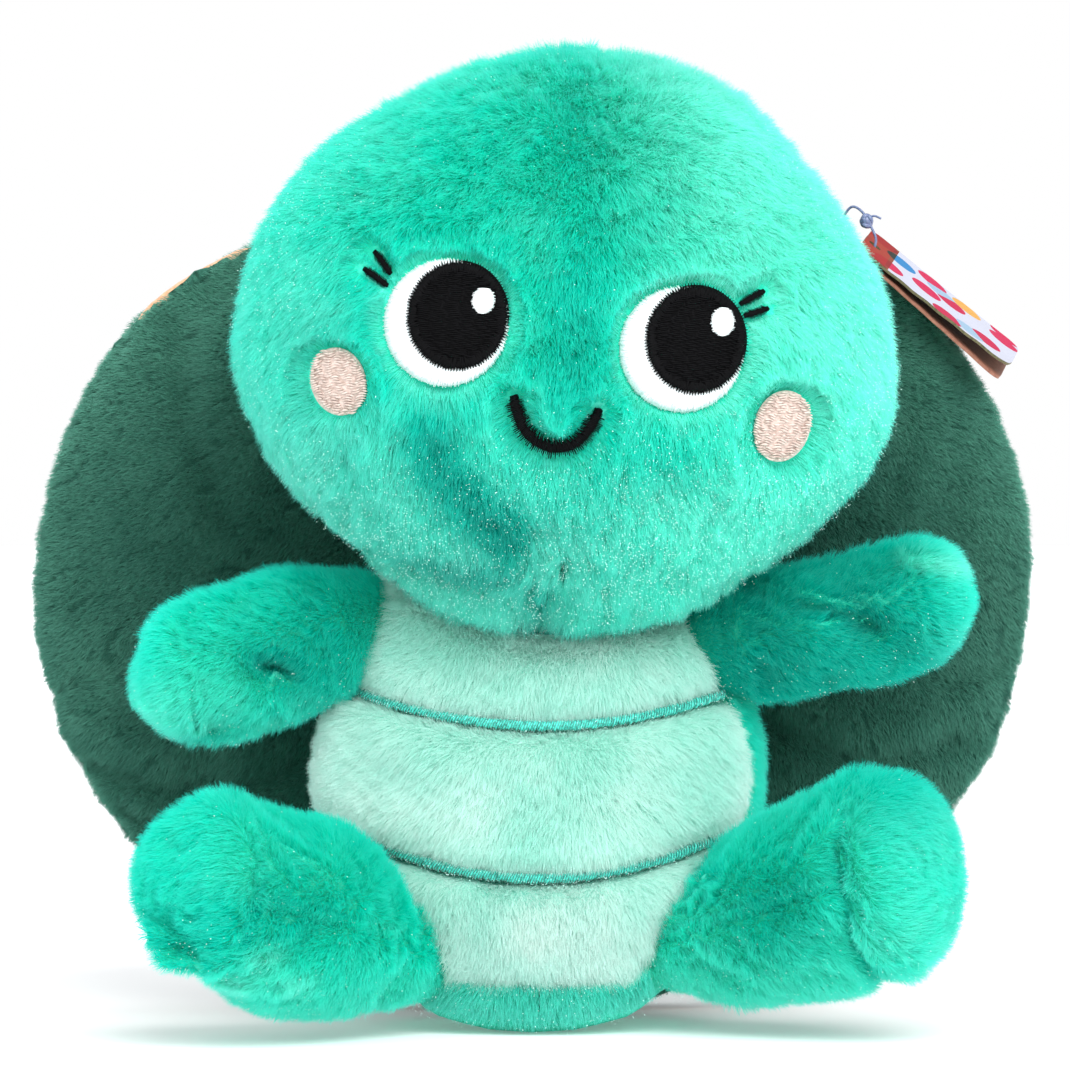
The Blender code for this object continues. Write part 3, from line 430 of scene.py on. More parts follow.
def body_section(z):
    zz = np.clip(z, 0, BODY_RINGS[-1][0])
    out = cubic_table(BODY_RINGS, zz)
    k = np.sqrt(np.clip((BODY_TOP - z) / (BODY_TOP - BODY_RINGS[-1][0]), 0, 1))
    return out * k[:, None]


def belly_y(x, z):
    z = np.atleast_1d(np.asarray(z, float))
    s = body_section(z)
    return -s[:, 1] * np.sqrt(np.maximum(0.0, 1.0 - ((np.atleast_1d(x) - BODY_X) / s[:, 0]) ** 2))


def line_z(pts, x):
    """Height of a belly line at x."""
    a, m, b = (np.array(p) for p in pts)
    c = m * 2 - (a + b) * 0.5
    t = np.linspace(-0.25, 1.25, 121)
    q = a * ((1 - t) ** 2)[:, None] + c * (2 * t * (1 - t))[:, None] + b * (t * t)[:, None]
    return np.interp(x, q[:, 0], q[:, 1])


def shell_form(u, off=0.0):
    """The shell, whose depth (world Y) is the unit sphere's z."""
    n = np.where(u[:, 2] < 0, SHELL_NF, SHELL_NB)
    h = np.where(u[:, 2] < 0, SHELL_FRONT, SHELL_BACK) + off
    flat = np.hypot(u[:, 0], u[:, 1])
    rho = flat ** (2.0 / n)
    depth = np.sign(u[:, 2]) * h * np.abs(u[:, 2]) ** (2.0 / n)
    safe = np.maximum(flat, 1e-9)
    cx, cy = u[:, 0] / safe, u[:, 1] / safe
    b = np.where(cy > 0, SHELL_BU, SHELL_BL) + off
    return np.stack([SHELL_C[0] + (SHELL_A + off) * rho * cx, SHELL_C[1] + depth, SHELL_C[2] + b * rho * cy], 1)


class Limb:
    def __init__(self, spec):
        self.s = spec
        t = np.linspace(0, 1, 49)
        self.c = spline(spec["spine"], t)
        d = spline(spec["spine"], np.minimum(t + 0.02, 1)) - spline(spec["spine"], np.maximum(t - 0.02, 0))
        self.d = unit(d)
        z = np.array((0.0, 0.0, 1.0))
        self.n = unit(z - self.d * self.d[:, 2:3])
        self.b = np.cross(self.d, self.n)
        self.rn = spline(spec["rn"], t)[:, 0]
        self.rb = spline(spec["rb"], t)[:, 0]
        self.t = t
        self.pivot = np.array(spec["spine"][0])
        self.end = np.array(spec["spine"][-1])
        self.along = unit(self.end - self.pivot)
        self.up = unit(z - self.along * self.along[2])
        out = np.cross(self.along, self.up)
        self.out = -out if out[1] > 0 else out

    def at(self, t):
        f = [np.stack([np.interp(t, self.t, a[:, k]) for k in range(3)], -1) for a in (self.c, self.d, self.n, self.b)]
        return f + [np.interp(t, self.t, self.rn), np.interp(t, self.t, self.rb)]

    def form(self, nu, rings, back, front, off=0.0):
        """Rings from the root's pole to the end's pole; the sphere grid's rows are mapped to them."""
        u, tris = ball_grid(nu, rings)
        th = np.arccos(np.clip(-u[:, 2], -1, 1))
        k = np.round(th / np.pi * rings)
        ang = np.arctan2(u[:, 1], u[:, 0])
        cx, cy = np.cos(ang), np.sin(ang)
        tube = rings - back - front
        t = np.clip((k - back) / tube, 0, 1)
        c, d, n, b, rn, rb = self.at(t)
        rn, rb = rn + off, rb + off
        a0 = np.pi / 2 * np.clip(k / back, 0, 1)
        a1 = np.pi / 2 * np.clip((k - back - tube) / front, 0, 1)
        r0 = self.s["r0"] + off
        push = np.where(k < back, -r0 * np.cos(a0), np.where(k > back + tube, (self.s["cap"] + off) * np.sin(a1), 0.0))
        shrink = np.where(k < back, np.sin(a0), np.where(k > back + tube, np.cos(np.minimum(a1, np.pi / 2)) ** 0.85, 1.0))
        shrink = np.where((k == 0) | (k == rings), 0.0, shrink)
        rn = np.where(k < back, r0, rn)
        rb = np.where(k < back, r0, rb)
        return c + d * push[:, None] + n * (cy * rn * shrink)[:, None] + b * (cx * rb * shrink)[:, None], tris

    def gap(self, p, room=0.0, flare=True, lift=1.0):
        """About how far p is outside this limb's form, or outside the room kept for it in the body."""
        best = np.full(len(p), 1e9)
        far = np.linalg.norm(self.c - self.pivot, axis=1)
        for i in range(0, 49, 2):
            q = p - self.c[i]
            s = q @ self.d[i]
            rn = self.rn[i] + room + (far[i] * self.s["lift"] * lift if flare else 0)
            rb = self.rb[i] + room + (far[i] * self.s["swing"] if flare else 0)
            if i == 0:
                rd = np.where(s < 0, self.s["r0"] + room, 2.2)
            elif i == 48:
                rd = np.where(s > 0, self.s["cap"] + room, 2.2)
            else:
                rd = 2.2
            r = np.sqrt(((q @ self.n[i]) / rn) ** 2 + ((q @ self.b[i]) / rb) ** 2 + (s / rd) ** 2)
            best = np.minimum(best, (r - 1) * min(rn, rb))
        return best


LIMB = {k: Limb(s) for k, s in LIMBS.items()}

# --------------------------------------------------------------------- materials


def nodes_of(name):
    mat = bpy.data.materials.new(name)
    mat.use_nodes = True
    nt = mat.node_tree
    return mat, nt, nt.nodes["Principled BSDF"], nt.nodes, nt.links


def lin(r, g, b):
    def f(c):
        c /= 255.0
        return c / 12.92 if c <= 0.04045 else ((c + 0.055) / 1.055) ** 2.4
    return (f(r), f(g), f(b), 1.0)


def ramp(nodes, stops):
    r = nodes.new("ShaderNodeValToRGB")
    e = r.color_ramp.elements
    while len(e) > 1:
        e.remove(e[0])
    e[0].position, e[0].color = stops[0]
    for pos, col in stops[1:]:
        el = e.new(pos)
        el.color = col
    return r


def pile_skin(name, dark, mid, pale, size=1.0, rough=0.85):
    """Cloth under the pile: streaky tufts in the pile's colours, so that it also stands alone."""
    mat, nt, bsdf, nodes, links = nodes_of(name)
    co = nodes.new("ShaderNodeTexCoord")
    big = nodes.new("ShaderNodeTexNoise")
    big.inputs["Scale"].default_value = 45.0 / size
    big.inputs["Detail"].default_value = 3.0
    fine = nodes.new("ShaderNodeTexNoise")
    fine.inputs["Scale"].default_value = 420.0 / size
    fine.inputs["Detail"].default_value = 6.0
    fine.inputs["Roughness"].default_value = 0.7
    links.new(co.outputs["Object"], big.inputs["Vector"])
    links.new(co.outputs["Object"], fine.inputs["Vector"])
    add = nodes.new("ShaderNodeMix")
    add.data_type = "FLOAT"
    add.inputs["Factor"].default_value = 0.55
    links.new(big.outputs["Fac"], add.inputs["A"])
    links.new(fine.outputs["Fac"], add.inputs["B"])
    col = ramp(nodes, [(0.3, dark), (0.5, mid), (0.68, pale)])
    links.new(add.outputs["Result"], col.inputs["Fac"])
    links.new(col.outputs["Color"], bsdf.inputs["Base Color"])
    bump = nodes.new("ShaderNodeBump")
    bump.inputs["Strength"].default_value = 0.6
    bump.inputs["Distance"].default_value = 0.0012
    links.new(fine.outputs["Fac"], bump.inputs["Height"])
    links.new(bump.outputs["Normal"], bsdf.inputs["Normal"])
    bsdf.inputs["Roughness"].default_value = rough
    bsdf.inputs["Sheen Weight"].default_value = 0.5
    bsdf.inputs["Sheen Roughness"].default_value = 0.4
    bsdf.inputs["Sheen Tint"].default_value = pale
    return mat


def fibre(name, spec_rough=0.45, gloss=0.05, through=0.5, root=0.8, tip=(0.8, 1.0, 0.97, 1), frost_and_rim_light=0.3):
    """Pile fibres: colour from each fibre's own tint, with painted shade making it darker towards the root
    and a paler fine tip, partly the pile's own frosted tips and partly painted rim light; letting some light through."""
    mat = bpy.data.materials.new(name)
    mat.use_nodes = True
    nt = mat.node_tree
    nodes, links = nt.nodes, nt.links
    nodes.remove(nodes["Principled BSDF"])
    out = nodes["Material Output"]
    info = nodes.new("ShaderNodeHairInfo")
    tint = nodes.new("ShaderNodeAttribute")
    tint.attribute_name = "tint"
    # painted shade: the fibre darkens towards its root
    shade = nodes.new("ShaderNodeMapRange")
    shade.inputs["To Min"].default_value = root
    shade.inputs["To Max"].default_value = 1.0
    shade.inputs["From Max"].default_value = 0.75
    links.new(info.outputs["Intercept"], shade.inputs["Value"])
    mul = nodes.new("ShaderNodeVectorMath")
    mul.operation = "SCALE"
    links.new(tint.outputs["Color"], mul.inputs["Vector"])
    links.new(shade.outputs["Result"], mul.inputs["Scale"])
    diff = nodes.new("ShaderNodeBsdfDiffuse")
    trans = nodes.new("ShaderNodeBsdfTranslucent")
    glos = nodes.new("ShaderNodeBsdfAnisotropic")
    glos.inputs["Roughness"].default_value = spec_rough
    glos.inputs["Color"].default_value = (1, 1, 1, 1)
    # paler tips: the pile's own frosting plus painted rim light
    ends = nodes.new("ShaderNodeMapRange")
    ends.inputs["From Min"].default_value = 0.6
    ends.inputs["To Max"].default_value = frost_and_rim_light
    links.new(info.outputs["Intercept"], ends.inputs["Value"])
    pale = nodes.new("ShaderNodeMix")
    pale.data_type = "RGBA"
    pale.inputs["B"].default_value = tip
    links.new(ends.outputs["Result"], pale.inputs["Factor"])
    links.new(mul.outputs["Vector"], pale.inputs["A"])
    links.new(pale.outputs["Result"], diff.inputs["Color"])
    links.new(pale.outputs["Result"], trans.inputs["Color"])
    m1 = nodes.new("ShaderNodeMixShader")
    m1.inputs["Fac"].default_value = through
    m2 = nodes.new("ShaderNodeMixShader")
    m2.inputs["Fac"].default_value = gloss
    links.new(diff.outputs["BSDF"], m1.inputs[1])
    links.new(trans.outputs["BSDF"], m1.inputs[2])
    links.new(m1.outputs["Shader"], m2.inputs[1])
    links.new(glos.outputs["BSDF"], m2.inputs[2])
    links.new(m2.outputs["Shader"], out.inputs["Surface"])
    return mat


def thread(name, colour, dark, rough=0.45, sheen=0.3, scale=900.0):
    """Twisted embroidery thread."""
    mat, nt, bsdf, nodes, links = nodes_of(name)
    co = nodes.new("ShaderNodeTexCoord")
    n = nodes.new("ShaderNodeTexNoise")
    n.inputs["Scale"].default_value = scale
    n.inputs["Detail"].default_value = 4.0
    links.new(co.outputs["Object"], n.inputs["Vector"])
    col = ramp(nodes, [(0.35, dark), (0.62, colour)])
    links.new(n.outputs["Fac"], col.inputs["Fac"])
    links.new(col.outputs["Color"], bsdf.inputs["Base Color"])
    bump = nodes.new("ShaderNodeBump")
    bump.inputs["Strength"].default_value = 0.4
    bump.inputs["Distance"].default_value = 0.0002
    links.new(n.outputs["Fac"], bump.inputs["Height"])
    links.new(bump.outputs["Normal"], bsdf.inputs["Normal"])
    bsdf.inputs["Roughness"].default_value = rough
    bsdf.inputs["Sheen Weight"].default_value = sheen
    return mat


TURQ = pile_skin("turquoise_cloth", lin(8, 165, 135), lin(22, 205, 172), lin(90, 228, 205))
MINT = pile_skin("mint_cloth", lin(120, 205, 188), lin(172, 234, 220), lin(214, 248, 238), size=0.8)
GREEN = pile_skin("green_cloth", lin(16, 62, 50), lin(38, 96, 80), lin(78, 138, 118), size=0.7, rough=0.95)
FUR = fibre("turquoise_fibre", gloss=0.004, through=0.5, root=0.88, frost_and_rim_light=0.07)
FUR_MINT = fibre("mint_fibre", gloss=0.01, through=0.55, root=0.98, frost_and_rim_light=0.1)
FUR_GREEN = fibre("green_fibre", gloss=0.008, through=0.35, root=0.66, tip=lin(120, 176, 160), frost_and_rim_light=0.14)
BLACK = thread("black_thread", lin(7, 7, 9), lin(2, 2, 3), rough=0.7, sheen=0.0)
BLACK.node_tree.nodes["Principled BSDF"].inputs["Specular IOR Level"].default_value = 0.10
WHITE = thread("white_thread", lin(250, 253, 253), lin(222, 234, 236), rough=0.5)
BLUSH = thread("blush_thread", lin(224, 204, 194), lin(190, 165, 153), rough=0.55)
TEAL = thread("teal_thread", lin(70, 212, 196), lin(16, 136, 122), rough=0.4, scale=1300.0)
PEACH = thread("peach_cord", lin(240, 184, 146), lin(220, 150, 108), rough=0.8, scale=700.0)


def stuffing_material():
    mat, nt, bsdf, nodes, links = nodes_of("fibrefill")
    co = nodes.new("ShaderNodeTexCoord")
    n = nodes.new("ShaderNodeTexNoise")
    n.inputs["Scale"].default_value = 160.0
    n.inputs["Detail"].default_value = 8.0
    n.inputs["Distortion"].default_value = 1.4
    links.new(co.outputs["Object"], n.inputs["Vector"])
    col = ramp(nodes, [(0.3, lin(205, 205, 200)), (0.65, lin(246, 246, 243))])
    links.new(n.outputs["Fac"], col.inputs["Fac"])
    links.new(col.outputs["Color"], bsdf.inputs["Base Color"])
    bump = nodes.new("ShaderNodeBump")
    bump.inputs["Strength"].default_value = 0.8
    bump.inputs["Distance"].default_value = 0.002
    links.new(n.outputs["Fac"], bump.inputs["Height"])
    links.new(bump.outputs["Normal"], bsdf.inputs["Normal"])
    bsdf.inputs["Roughness"].default_value = 1.0
    return mat


def weave_material(name, colour, dark, scale):
    mat, nt, bsdf, nodes, links = nodes_of(name)
    co = nodes.new("ShaderNodeTexCoord")
    sep = [nodes.new("ShaderNodeTexWave") for _ in range(2)]
    for w, axis in zip(sep, ("X", "Z")):
        w.bands_direction = axis
        w.inputs["Scale"].default_value = scale
        w.inputs["Distortion"].default_value = 0.6
        links.new(co.outputs["Object"], w.inputs["Vector"])
    m = nodes.new("ShaderNodeMath")
    m.operation = "MULTIPLY"
    links.new(sep[0].outputs["Fac"], m.inputs[0])
    links.new(sep[1].outputs["Fac"], m.inputs[1])
    col = ramp(nodes, [(0.0, dark), (0.6, colour)])
    links.new(m.outputs["Value"], col.inputs["Fac"])
    links.new(col.outputs["Color"], bsdf.inputs["Base Color"])
    bump = nodes.new("ShaderNodeBump")
    bump.inputs["Strength"].default_value = 0.5
    bump.inputs["Distance"].default_value = 0.0002
    links.new(m.outputs["Value"], bump.inputs["Height"])
    links.new(bump.outputs["Normal"], bsdf.inputs["Normal"])
    bsdf.inputs["Roughness"].default_value = 0.9
    return mat


FILL = stuffing_material()
BACKING = weave_material("backing_cloth", lin(240, 240, 236), lin(205, 205, 200), 260.0)
RIBBON = weave_material("ribbon_cloth", lin(246, 246, 244), lin(218, 218, 214), 420.0)
POUCH = weave_material("pouch_cloth", lin(214, 218, 220), lin(176, 182, 186), 240.0)

# -------------------------------------------------------------------------- pile


def grow(name, owner, v, t, density, material, tint, length, nap, lean, seed,
         keep=None, clump=0.0, clump_mm=1.8, wild=0.15, width=0.056, points=4, tip=0.3, curl=0.14, drift=0.24):
    """Real pile on the sheet v, t: one curve a fibre, riding with `owner`.
    tint, length, nap and lean are functions of (roots, normals)."""
    rng = np.random.default_rng(seed)
    n = normals_of(v, t)
    area = 0.5 * np.linalg.norm(np.cross(v[t[:, 1]] - v[t[:, 0]], v[t[:, 2]] - v[t[:, 0]]), axis=1)
    total = int(area.sum() * density * HAIR_SHARE)
    cum = np.cumsum(area)
    tri = np.searchsorted(cum, rng.random(total) * cum[-1])
    tri = np.minimum(tri, len(t) - 1)
    a, b = rng.random(total), rng.random(total)
    swap = a + b > 1
    a[swap], b[swap] = 1 - a[swap], 1 - b[swap]
    w = np.stack([1 - a - b, a, b], 1)[:, :, None]
    p = (v[t[tri]] * w).sum(1)
    nn = unit((n[t[tri]] * w).sum(1))
    if keep is not None:
        ok = keep(p, nn)
        p, nn = p[ok], nn[ok]
    total = len(p)
    lng = length(p, nn) * rng.uniform(0.78, 1.08, total)
    d = nap(p, nn)
    d = unit(d - nn * (d * nn).sum(1, keepdims=True))
    sway = noise3(p, 8.0, seed + 5) * drift + noise3(p, 2.6, seed + 6) * curl
    le = np.broadcast_to(lean(p, nn), (total,))[:, None]
    r1 = rng.normal(0, wild, (total, 3))
    r2 = rng.normal(0, wild * 1.5, (total, 3))
    d0 = unit(nn * (1.0 - 0.35 * le) + d * le * 0.7 + sway * 0.5 + r1)
    d1 = unit(nn * (1.0 - 0.75 * le) + d * le * 1.25 + sway + r2)
    s = np.linspace(0, 1, points)[None, :, None]
    pts = p[:, None] + lng[:, None, None] * (d0[:, None] * (s - s * s / 2) + d1[:, None] * (s * s / 2))
    if clump > 0 and total > 10:
        count = max(4, int(area.sum() / (clump_mm * clump_mm)))
        pick = rng.choice(total, min(count, total), replace=False)
        tree = KDTree(len(pick))
        for k, co in enumerate(p[pick]):
            tree.insert(co, k)
        tree.balance()
        find = tree.find
        near = np.fromiter((find(co)[1] for co in p), dtype=np.int64, count=total)
        lead = pts[pick][near]
        pull = (clump * rng.uniform(0.4, 1.3, total))[:, None, None] * s**1.4
        pts = pts + (lead - pts) * np.minimum(pull, 0.9)
    pts[:, :, 2] = np.maximum(pts[:, :, 2], 0.25)
    rad = width * (1 - (1 - tip) * s[0, :, 0] ** 1.5)
    rad = rng.uniform(0.75, 1.2, total)[:, None] * rad[None]
    hc = bpy.data.hair_curves.new(name)
    hc.add_curves([points] * total)
    hc.attributes["position"].data.foreach_set("vector", (((pts + SHIFT) * MM).astype(np.float32)).ravel())
    ra = hc.attributes.get("radius") or hc.attributes.new("radius", "FLOAT", "POINT")
    ra.data.foreach_set("value", (rad * MM).astype(np.float32).ravel())
    col = np.ones((total, 4), np.float32)
    col[:, :3] = tint(p, nn, rng)
    ca = hc.attributes.new("tint", "FLOAT_COLOR", "CURVE")
    ca.data.foreach_set("color", col.ravel())
    hc.materials.append(material)
    ob = bpy.data.objects.new(name, hc)
    bpy.context.scene.collection.objects.link(ob)
    ob.parent = owner
    return ob, total


def sparkle(name, owner, v, t, per_mm2, seed, height=4.0, nap=None, keep=None, length=0.20, width=0.064):
    """Short tinsel fibres near the tips of the pile, bright with a painted glow."""
    rng = np.random.default_rng(seed)
    n = normals_of(v, t)
    area = 0.5 * np.linalg.norm(np.cross(v[t[:, 1]] - v[t[:, 0]], v[t[:, 2]] - v[t[:, 0]]), axis=1)
    total = int(area.sum() * per_mm2)
    cum = np.cumsum(area)
    tri = np.minimum(np.searchsorted(cum, rng.random(total) * cum[-1]), len(t) - 1)
    w = rng.dirichlet((1, 1, 1), total)[:, :, None]
    p = (v[t[tri]] * w).sum(1)
    nn = unit((n[t[tri]] * w).sum(1))
    if keep is not None:
        ok = keep(p, nn, rng)
        p, nn = p[ok], nn[ok]
    total = len(p)
    if total < 2:
        return None
    tall = height(p) if callable(height) else height
    base = p + nn * (tall * rng.uniform(0.6, 1.08, total))[:, None]
    if nap is not None:
        base += nap(p, nn) * (tall * 0.35 * np.ones(total))[:, None]
    along = unit(rng.normal(0, 0.6, (total, 3)) + (nap(p, nn) if nap is not None else 0) + nn * 0.3)
    s = np.linspace(0, 1, 3)[None, :, None]
    pts = base[:, None] + along[:, None] * (s * (length * rng.uniform(0.6, 1.5, total))[:, None, None])
    pts[:, :, 2] = np.maximum(pts[:, :, 2], 0.3)
    hc = bpy.data.hair_curves.new(name)
    hc.add_curves([3] * total)
    hc.attributes["position"].data.foreach_set("vector", (((pts + SHIFT) * MM).astype(np.float32)).ravel())
    ra = hc.attributes.get("radius") or hc.attributes.new("radius", "FLOAT", "POINT")
    ra.data.foreach_set("value", (np.repeat(rng.uniform(0.6, 1.2, total)[:, None] * width, 3, 1) * MM).astype(np.float32).ravel())
    hc.materials.append(GLOWING_TINSEL)
    ob = bpy.data.objects.new(name, hc)
    bpy.context.scene.collection.objects.link(ob)
    ob.parent = owner
    return ob


def tinsel_material():
    mat, nt, bsdf, nodes, links = nodes_of("tinsel_fibre_painted_glow")
    bsdf.inputs["Base Color"].default_value = (0.74, 1.0, 0.95, 1)
    # painted glint: the tinsel glows faintly, though it is no lamp
    bsdf.inputs["Emission Color"].default_value = (0.66, 1.0, 0.94, 1)
    bsdf.inputs["Emission Strength"].default_value = 0.26
    bsdf.inputs["Roughness"].default_value = 0.25
    bsdf.inputs["Metallic"].default_value = 0.0
    bsdf.inputs["Coat Weight"].default_value = 1.0
    bsdf.inputs["Coat Roughness"].default_value = 0.15
    return mat


GLOWING_TINSEL = tinsel_material()
BODY_OF = {n: b for b, ns in frame["record"]["behaviour"]["bodies"].items() for n in ns}
STRANDS = [0]


def panel(name, v, t, depth, material, slot):
    """A sewn panel as a closed piece that stands for the CAD node of the same name."""
    n = normals_of(v, t)
    depth = np.broadcast_to(depth, (len(v),))[:, None]
    sv, st = thicken(v, t, n, depth)
    ob = new_mesh(name + "_sewn", sv, st, material)
    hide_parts(name)
    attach(ob, BODY_OF[name])
    return ob


def piece(name, v, t, material, slot, smooth=True):
    ob = new_mesh(name + "_sewn", v, t, material, smooth)
    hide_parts(name)
    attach(ob, BODY_OF[name])
    return ob


def upsample(field, nu, nv, nu2, nv2):
    """Values on a coarse ball grid, read smoothly at the points of a finer one."""
    c = field.shape[1]
    g = np.empty((nv + 1, nu, c))
    g[0], g[-1] = field[0], field[-1]
    g[1:-1] = field[1:-1].reshape(nv - 1, nu, c)

    def axis(a, pos, wrap):
        m = a.shape[0]
        i = np.floor(pos).astype(int)
        f = (pos - i).reshape(-1, *([1] * (a.ndim - 1)))

        def at(k):
            return a[k % m] if wrap else a[np.clip(k, 0, m - 1)]
        p0, p1, p2, p3 = at(i - 1), at(i), at(i + 1), at(i + 2)
        return 0.5 * (2 * p1 + (p2 - p0) * f + (2 * p0 - 5 * p1 + 4 * p2 - p3) * f**2 + (3 * p1 - p0 - 3 * p2 + p3) * f**3)
    rows = axis(g, np.arange(nv2 + 1) * nv / nv2, False)
    cols = axis(np.swapaxes(rows, 0, 1), np.arange(nu2) * nu / nu2, True)
    full = np.swapaxes(cols, 0, 1)
    return np.vstack([full[0].mean(0)[None], full[1:-1].reshape(-1, c), full[-1].mean(0)[None]])


def stuffed(name, v, t, pin, pressure=3.0, slack=0.03, frames=18, cap=5.0, stiff=12.0):
    """How far each point moves when the sewn skin is filled: a cloth simulation with gravity off."""
    me = bpy.data.meshes.new(name + "_cloth")
    me.from_pydata([tuple(p) for p in v * MM], [], [tuple(f) for f in t.tolist()])
    ob = bpy.data.objects.new(name + "_cloth", me)
    bpy.context.scene.collection.objects.link(ob)
    group = ob.vertex_groups.new(name="pin")
    levels = np.round(pin, 2)
    for value in np.unique(levels):
        if value > 0:
            group.add(np.flatnonzero(levels == value).tolist(), float(value), "REPLACE")
    mod = ob.modifiers.new("cloth", "CLOTH")
    st = mod.settings
    st.quality = 6
    st.mass = 0.15
    st.tension_stiffness = st.compression_stiffness = stiff
    st.shear_stiffness = 4.0
    st.bending_stiffness = 0.6
    st.use_pressure = True
    st.uniform_pressure_force = pressure
    st.shrink_min = -slack
    st.vertex_group_mass = "pin"
    st.pin_stiffness = 1.0
    st.effector_weights.gravity = 0.0
    mod.point_cache.frame_start, mod.point_cache.frame_end = 1, frames
    scene = bpy.context.scene
    for f in range(1, frames + 1):
        scene.frame_set(f)
    ev = ob.evaluated_get(bpy.context.evaluated_depsgraph_get())
    co = np.empty(len(v) * 3, np.float32)
    ev.data.vertices.foreach_get("co", co)
    scene.frame_set(1)
    bpy.data.objects.remove(ob, do_unlink=True)
    move = co.reshape(-1, 3) / MM - v
    move[~np.isfinite(move).all(1)] = 0.0
    size = np.linalg.norm(move, axis=1, keepdims=True)
    return move * np.minimum(1.0, cap / np.maximum(size, 1e-9))


# -------------------------------------------------------------------------- head
HEAD_NU, HEAD_NV = ((400, 240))
hu, head_t = ball_grid(HEAD_NU, HEAD_NV)
head_loc = head_form(hu)
head_v = head_world(head_loc)


def ellipse_gap(x, z, cx, cz, rx, rz, lean=0.0):
    c, s = math.cos(math.radians(lean)), math.sin(math.radians(lean))
    dx, dz = x - cx, z - cz
    a, b = dx * c - dz * s, dx * s + dz * c
    r = np.hypot(a / rx, b / rz)
    return (r - 1) * np.minimum(rx, rz) * np.where(r > 1, 1.03, 1.0)


MOUTH_PATH = spline(MOUTH, np.linspace(0, 1, 33))


def feature_gap(x, z):
    """Distance across the face to the nearest embroidery; negative on it."""
    g = np.full(np.shape(x), 1e9)
    for e in EYES.values():
        g = np.minimum(g, ellipse_gap(x, z, *e["white"]))
        g = np.minimum(g, ellipse_gap(x, z, *e["black"]))
    for cx, cz, rx, rz, lean in CHEEKS.values():
        g = np.minimum(g, ellipse_gap(x, z, cx, cz, rx, rz, lean))
    xz = np.stack([x, z], 1)
    g = np.minimum(g, path_distance(xz, MOUTH_PATH) - MOUTH_W)
    for ends in LASHES.values():
        g = np.minimum(g, path_distance(xz, ends) - 1.0)
    return g


def front_gap(q):
    """feature_gap for points in the head's axes; far away on the back."""
    g = np.full(len(q), 99.0)
    f = q[:, 1] < 0
    g[f] = feature_gap(q[f, 0], q[f, 2])
    return g


def dent(q, x, z, r, depth, lean=0.0, aspect=1.0):
    c, s = math.cos(math.radians(lean)), math.sin(math.radians(lean))
    dx, dz = q[:, 0] - x, q[:, 2] - z
    a, b = dx * c - dz * s, dx * s + dz * c
    return depth * np.exp(-(a / (r * aspect)) ** 2 - (b / r) ** 2) * (q[:, 1] < 0)


def head_outline(q):
    """Where the stuffed head falls short of its form: both upper shoulders and the crown."""
    ang = np.degrees(np.arctan2(q[:, 2], q[:, 0]))
    far = step(0.5, 0.92, np.hypot(q[:, 0] / HEAD_A, q[:, 2] / HEAD_CU))
    return -far * (4.3 * np.exp(-((ang - 41) / 20) ** 2) + 4.2 * np.exp(-((ang - 125) / 20) ** 2)
                   + 2.0 * np.exp(-((ang - 88) / 12) ** 2) + 1.8 * np.exp(-((ang - 6) / 16) ** 2))


# the hollow that runs down from beside the mouth to the chin, in the head's axes
FACE_FOLD = [(-33.0, -15.0), (-30.0, -27.0), (-19.0, -36.0), (-9.0, -43.5)]


def head_relief(q):
    """Seams, darts and the soft hollows of the stuffed face, in mm along the normal."""
    d = head_outline(q) - 1.3 * np.exp(-((q[:, 1] - HEAD_SEAM_Y) / 2.4) ** 2)
    dart = np.exp(-((q[:, 0] - HEAD_DART_X) / 2.0) ** 2)
    wide = np.exp(-((q[:, 0] - HEAD_DART_X) / 9.0) ** 2)
    top = step(44, 62, q[:, 2]) * (q[:, 1] < HEAD_SEAM_Y + 2)
    chin = step(-42, -56, q[:, 2]) * (q[:, 1] < HEAD_SEAM_Y + 2)
    back = (q[:, 1] > HEAD_SEAM_Y - 2) * 1.0
    d -= dart * (1.3 * top + 2.0 * chin + 1.2 * back) + wide * (0.9 * chin + 0.4 * top)
    # embroidery draws the cloth in round each eye, cheek and the mouth
    g = front_gap(q)
    d -= 0.9 * np.exp(-np.maximum(g, 0) / 5.0) * (g < 40)
    # hollows beside and below the mouth, and the fold above the chin's edge
    d -= 1.9 * np.exp(-(path_distance(q[:, [0, 2]], FACE_FOLD) / 6.0) ** 2) * (q[:, 1] < 0)
    d += dent(q, 24.0, -24.0, 8.0, -0.9, -40.0, 1.7)
    d += dent(q, 1.0, -1.0, 12.0, 1.3)
    d += dent(q, -42.0, -14.0, 12.0, 0.9) + dent(q, 38.0, -15.0, 12.0, 0.9)
    d += dent(q, -21.5, -53.0, 2.8, -2.6, 8.0, 5.0) + dent(q, -1.4, -60.0, 3.4, -2.4, 0.0, 0.8)
    d += 0.9 * noise(q, 26.0, 3) + 0.5 * noise(q, 12.0, 4)
    d += locks(q, 0.22, 3.4) * step(0.5, 4.0, g)
    return d


CU, CV = 96, 64
cu_, ct_ = ball_grid(CU, CV)
cq = head_form(cu_, -0.8)
pin = np.clip(np.exp(-((cq[:, 1] - HEAD_SEAM_Y) / 3.0) ** 2)
              + np.exp(-((cq[:, 0] - HEAD_DART_X) / 2.5) ** 2) * (step(40, 55, cq[:, 2]) + step(-40, -50, cq[:, 2]))
              + (front_gap(cq) < 1.0) * 0.8, 0, 1)
move = stuffed("head", head_world(cq), ct_, pin, pressure=2.5, slack=0.02, cap=3.0)
head_v = head_v + upsample(move, CU, CV, HEAD_NU, HEAD_NV) * 0.8
head_n = normals_of(head_v, head_t)
head_v = head_v + head_n * head_relief(head_loc)[:, None]
CROWN = head_world(np.array([[3.0, 30.0, 72.0]]))[0]


